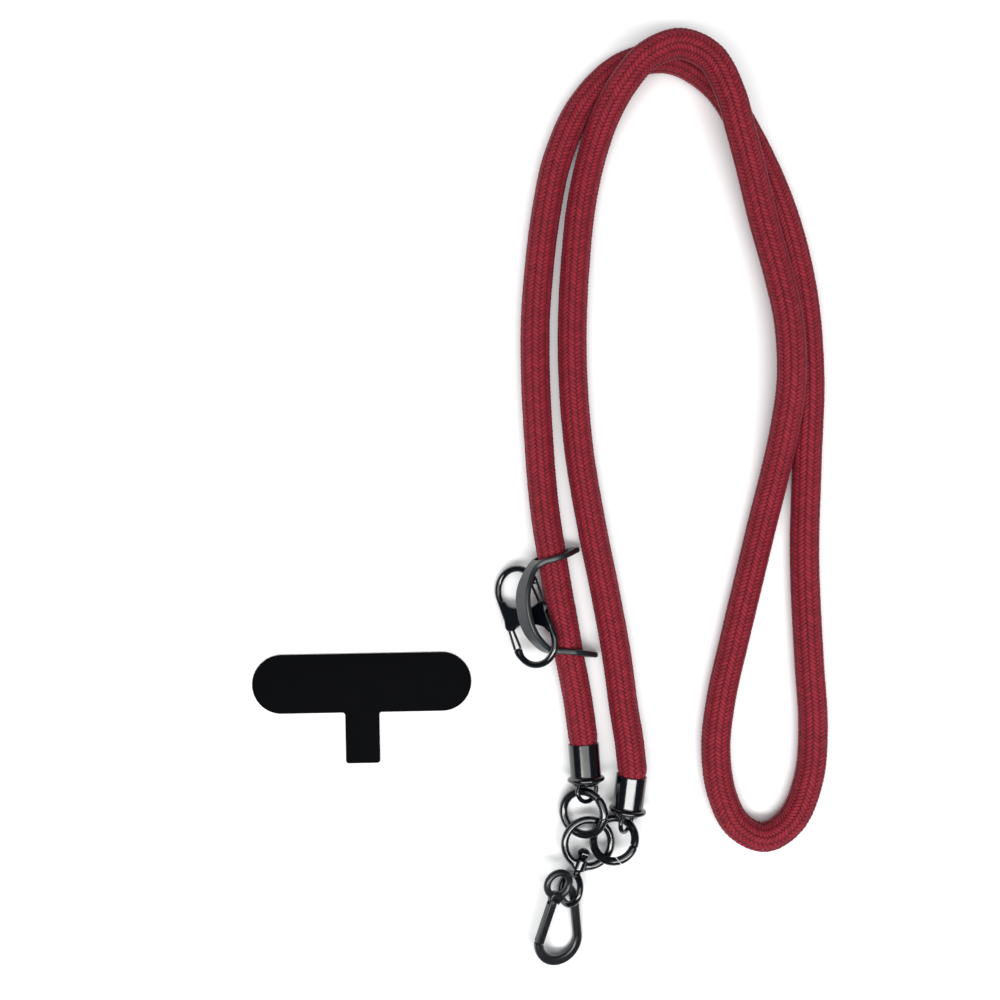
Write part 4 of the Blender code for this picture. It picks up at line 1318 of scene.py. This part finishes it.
    def build_rivet(self, pivot: Matrix, finishes: Finishes) -> None:
        """Makes the rivet with a domed head on each side.

        Args:
            pivot: The rivet's place.
            finishes: The strap's finishes.
        """
        rim, under = self.rivet_head / 2, self.thickness / 2 + 0.15 * MM
        top = under + self.rivet_head_height
        half = [
            (0, top), (rim * 0.55, top - 0.04 * MM), (rim * 0.9, top - 0.16 * MM), (rim, under + 0.05 * MM),
            (rim, under), (self.rivet / 2, under)]
        made = Shape().turned(both_ends(half), pivot, 40).to_object("hook_rivet_dress")
        dressed(made, finishes.matt, Body.HOOK, ("hook_rivet",))


@dataclass
class Slider:
    """The strip bent round one strand, with a holed plate at each end."""

    middle: tuple[float, float] = (21.0, -36.0)
    lean: float = 9.8
    height: float = 7.6
    roll: float = 30.0
    thickness: float = 2.0 * MM
    corner: float = 0.62 * MM
    tip: Triple = (0.55, 0.8, 0.93)
    hole: float = 12.0 * MM
    stations: Stations = (
        (-11.4, 17.12, 1.8), (-8.5, 17.0, 3.5), (-6.0, 16.7, 5.0), (-4.0, 16.5, 6.1), (-2.0, 16.3, 7.0),
        (0.0, 16.1, 7.3), (2.0, 15.9, 7.0), (4.0, 15.6, 6.1), (5.8, 15.3, 4.6), (8.4, 14.0, 3.2),
        (10.9, 11.5, 3.2), (13.2, 7.9, 3.7), (14.5, 4.0, 3.8), (14.9, -0.4, 3.8), (14.5, -4.8, 3.8),
        (13.2, -8.8, 3.7), (11.0, -12.2, 3.4), (8.6, -14.7, 3.2), (6.2, -15.8, 3.4), (4.0, -16.4, 5.4),
        (2.0, -17.0, 7.0), (0.0, -17.6, 7.3), (-2.0, -18.2, 7.0), (-4.0, -18.8, 6.1), (-6.0, -19.4, 5.0),
        (-8.5, -20.2, 3.5), (-11.4, -21.1, 1.8),
    )
    holes: tuple[int, int] = (5, 21)

    def build(self, finishes: Finishes) -> None:
        """Bends the strip, cuts its holes and rounds its edges.

        Args:
            finishes: The strap's finishes.
        """
        place = seated(lay(*self.middle, self.height), (0, 0, 1), self.lean) @ turned_by(self.roll, "Y")
        marks = [Vector((-across * MM, along * MM, half * MM)) for across, along, half in self.stations]
        fine = smooth_line(marks, 5)
        sections, last = [], len(fine) - 1
        for index, point in enumerate(fine):
            blunt = blunted(min(index, last - index), self.tip)
            sections.append(bar_section(self.thickness * blunt, 2 * point.z * blunt, self.corner * blunt))
        line = [Vector((point.x, point.y, 0)) for point in fine]
        made = Shape().sweep(line, sections, place, up=UP).to_object("adjuster_dress")
        reach = 4 * self.thickness
        for index in self.holes:
            here, before, after = marks[index], marks[index - 1], marks[index + 1]
            run = math.atan2(after.y - before.y, after.x - before.x)
            through = place @ Matrix.Translation((here.x, here.y, 0)) @ Matrix.Rotation(run, 4, "Z")
            cut(made, Shape().disc(self.hole / 2, -reach, reach, through @ turned_by(90, "X"), 72))
        cast(made, 0.23 * MM, 3)
        dressed(made, finishes.satin, Body.STRAP, ("adjuster",), 60)


@dataclass
class DoubleClip:
    """The S-shaped clip: a centre plate with an open wire loop and a wire gate at each end."""

    centre: Triple = (9.1, -40.6, 9.2)
    normal: Triple = (-0.62, 0.13, 1.0)
    lean: float = 20.3
    wire: float = 2.4 * MM
    loop_radius: float = 7.6 * MM
    loop_offset: float = 10.0 * MM
    nose_angle: float = 5.0
    nose_lap: float = 12.0
    nose_width: float = 3.4 * MM
    nose_slot: float = 1.3 * MM
    hinge: tuple[float, float] = (7.5 * MM, 0.4 * MM)
    slot: float = 1.5 * MM
    slot_diameter: float = 6.0 * MM
    foot: float = 3.4 * MM
    gate_wire: float = 0.88 * MM
    gate_spread: float = 2.3 * MM
    gate_foot_spread: float = 1.4 * MM
    tip: Triple = (0.72, 0.9, 0.98)
    plate_half: Outline = (
        (-8.3, 8.4), (-6.1, 8.4), (-5.3, 6.6), (-3.8, 5.2), (-1.8, 4.0), (0.8, 2.7), (3.2, 2.1), (5.4, 2.3),
        (7.2, 2.6), (8.7, 1.9), (9.1, 0.4), (8.6, -1.6),
    )

    def loop(self) -> tuple[list[Vector], list[Profile]]:
        """The centre line and the sections of one loop, from the plate to its wider nose.

        Returns:
            The line's points and an outline for each.
        """
        bend = arc(0, self.loop_offset, self.loop_radius, 180, self.nose_angle - self.nose_lap, 66)
        path = [*(Vector((-self.loop_radius, step * MM, 0)) for step in (2.5, 4.5, 6.5, 8.5)), *bend]
        sections = []
        for left in reversed(range(len(path))):
            blunt = blunted(left, self.tip)
            wide = 1 + (self.nose_width / self.wire - 1) * max(0.0, 1 - left / 9) ** 0.7
            sections.append([(x * wide * blunt, y * blunt) for x, y in round_section(self.wire / 2, 24)])
        return path, sections

    def build(self, finishes: Finishes) -> None:
        """Makes the plate with its loops, then both gates.

        Args:
            finishes: The strap's finishes.
        """
        place = seated(lay(*self.centre), self.normal, self.lean)
        ends = [place @ turned_by(degrees) for degrees in (0, 180)]
        half = in_plane(self.plate_half)
        outline = smooth_line(half + [-point for point in half] + [half[0]], 3)[:-1]
        body = Shape().slab(outline, self.wire * 0.96, place, 0.5 * MM)
        for end in ends:
            body.sweep(*self.loop(), end, up=UP)
        made = cast(body.to_object("double_clip_dress"), 0.13 * MM, 24)
        hinge = Matrix.Translation((*self.hinge, 0))
        deep, lips = self.slot / 2, self.nose_slot / 2
        near, far = self.loop_radius - 3 * MM, self.loop_radius + 3 * MM
        top = self.loop_offset + 0.9 * MM
        for end in ends:
            cut(made, Shape().disc(self.slot_diameter / 2, -deep, deep, end @ hinge))
            cut(made, Shape().box((near, top - 4 * MM, -lips), (far, top, lips), end))
        dressed(made, finishes.gloss, Body.STRAP, ("double_clip",), 65)
        for body_of, end in zip((Body.CLIP_GATE_UPPER, Body.CLIP_GATE_LOWER), ends):
            self.build_gate(body_of, end @ hinge, finishes)

    def build_gate(self, body: Body, at: Matrix, finishes: Finishes) -> None:
        """Bends one hairpin gate on its flat foot.

        Args:
            body: The gate's own body.
            at: The hinge's place.
            finishes: The strap's finishes.
        """
        nose = self.loop_offset + self.loop_radius * math.sin(math.radians(self.nose_angle)) - self.hinge[1]
        spread, foot = self.gate_spread / 2, self.gate_foot_spread / 2
        top = nose - 0.3 * MM - self.gate_wire / 2 - spread
        path = [Vector((-foot, 0, 0)), *arc(0, top, spread, 180, 0, 20), Vector((foot, 0, 0))]
        rim, deep = self.foot / 2, self.gate_wire / 2
        shape = Shape().sweep(even_line(path, 0.5 * MM), [round_section(deep, 16)], at)
        shape.turned(both_ends([(0, deep), (rim * 0.9, deep), (rim, deep * 0.6)]), at, 40)
        dressed(shape.to_object(body.value + "_dress"), finishes.gloss, body, (body.value,), 50)


@dataclass
class CaseTab:
    """The T-shaped sheet that goes inside a phone case."""

    bar_at: tuple[float, float] = (-49.3, -65.2)
    turn: float = 1.1
    length: float = 78.1 * MM
    width: float = 20.9 * MM
    stem_width: float = 12.1 * MM
    stem_length: float = 18.1 * MM
    thickness: float = 1.0 * MM
    corner: float = 1.0 * MM

    def build(self, finishes: Finishes) -> None:
        """Cuts the sheet and breaks its edges.

        Args:
            finishes: The strap's finishes.
        """
        radius, corner, stem = self.width / 2, self.corner, self.stem_width / 2
        reach, foot = self.length / 2 - radius, -radius - self.stem_length
        outline = arc(reach, 0, radius, -90, 90, 40) + arc(-reach, 0, radius, 90, 270, 40)
        outline += reversed(arc(-stem - corner, -radius - corner, corner, 0, 90, 8))
        outline += arc(-stem + corner, foot + corner, corner, 180, 270, 8)
        outline += arc(stem - corner, foot + corner, corner, 270, 360, 8)
        outline += reversed(arc(stem + corner, -radius - corner, corner, 90, 180, 8))
        place = Matrix.Translation(lay(*self.bar_at, 0) + Vector((0, 0, self.thickness / 2)))
        turned = place @ turned_by(self.turn)
        made = Shape().slab(outline, self.thickness, turned).to_object("phone_tab_dress")
        soften(made, 0.16 * MM, 3)
        dressed(made, finishes.tab, Body.STRAP, ("phone_tab",), 40)


@dataclass(frozen=True)
class Lamp:
    """One soft light that looks at the lay's middle, its first size along X."""

    name: str
    at: Triple
    size: tuple[float, float]
    power: float

    def hang(self) -> None:
        """Hangs the light."""
        data = bpy.data.lights.new(self.name, "AREA")
        data.shape = "RECTANGLE"
        data.size, data.size_y = self.size
        data.energy = self.power
        made = linked(self.name, data)
        made.location = MIDDLE + Vector(self.at)
        made.rotation_euler = (math.atan2(-self.at[1], self.at[2]), 0, 0)


@dataclass
class Studio:
    """The pale floor, the soft lights and the camera above the middle of the lay."""

    camera_height: float = 0.42
    view_width: float = 0.357
    sensor: float = 36.0
    floor_reach: float = 3.0
    floor_tone: float = 0.93
    sky: Triple = (0.8, 0.9, 1.0)
    sky_strength: float = 0.08
    lamps: tuple[Lamp, ...] = (
        Lamp("window", (0.0, -0.47, 1.15), (1.5, 0.27), 16.0),
        Lamp("overhead", (0.0, 0.1, 1.2), (1.6, 0.9), 9.0),
    )

    def place_camera(self) -> None:
        """Puts the camera straight above the middle, looking down."""
        data = bpy.data.cameras.new("camera")
        data.sensor_width = self.sensor
        data.lens = self.sensor * self.camera_height / self.view_width
        data.clip_start = 0.01
        made = linked("camera", data)
        made.location = MIDDLE + UP * self.camera_height
        bpy.context.scene.camera = made

    def build(self) -> None:
        """Lays the floor and hangs the lights."""
        floor = bpy.data.meshes.new("floor")
        square = in_plane(((-1, -1), (1, -1), (1, 1), (-1, 1)), self.floor_reach)
        floor.from_pydata([tuple(corner) for corner in square], [], [(0, 1, 2, 3)])
        material, nodes, shader = new_material("pale_floor")
        nodes.feed(shader, {"Base Color": (*[self.floor_tone] * 3, 1), "Roughness": 0.9})
        floor.materials.append(material)
        linked("floor", floor)
        for lamp in self.lamps:
            lamp.hang()
        world = bpy.data.worlds.new("studio")
        world.use_nodes = True
        Nodes(world.node_tree).feed(
            world.node_tree.nodes["Background"], {"Color": (*self.sky, 1), "Strength": self.sky_strength})
        bpy.context.scene.world = world
        bpy.context.scene.view_settings.view_transform = "Standard"


def main() -> None:
    """Builds the scene: camera and cord first, then the hardware, the tab and the studio."""
    logging.basicConfig(level=logging.INFO, format="%(name)s: %(message)s")
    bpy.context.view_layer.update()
    studio = Studio()
    studio.place_camera()
    finishes = Finishes()
    left = EndCap("end_cap_left", bead_at=(30.24, -98.0, 6.65), lean=4.0, rise=2.7, loop_turn=42.2)
    right = EndCap("end_cap_right", bead_at=(44.8, -108.85, 6.65), lean=-6.5, rise=-2.35, loop_turn=60.0)
    BraidedRope().build(left, right, finishes)
    left.build(finishes)
    right.build(finishes)
    GateRing(
        "left", centre=(29.405, -110.123, 5.916), normal=(-0.448, -0.013, 1.0), hinge_angle=40.0,
        gate_body=Body.RING_GATE_LEFT).build(finishes)
    GateRing(
        "right", centre=(40.101, -119.344, 6.264), normal=(-0.425, 0.567, 1.0), hinge_angle=-30.0,
        gate_body=Body.RING_GATE_RIGHT).build(finishes)
    Swivel().build(finishes)
    SnapHook().build(finishes)
    Slider().build(finishes)
    DoubleClip().build(finishes)
    CaseTab().build(finishes)
    studio.build()
    bpy.context.view_layer.update()


if __name__ == "__main__":
    main()
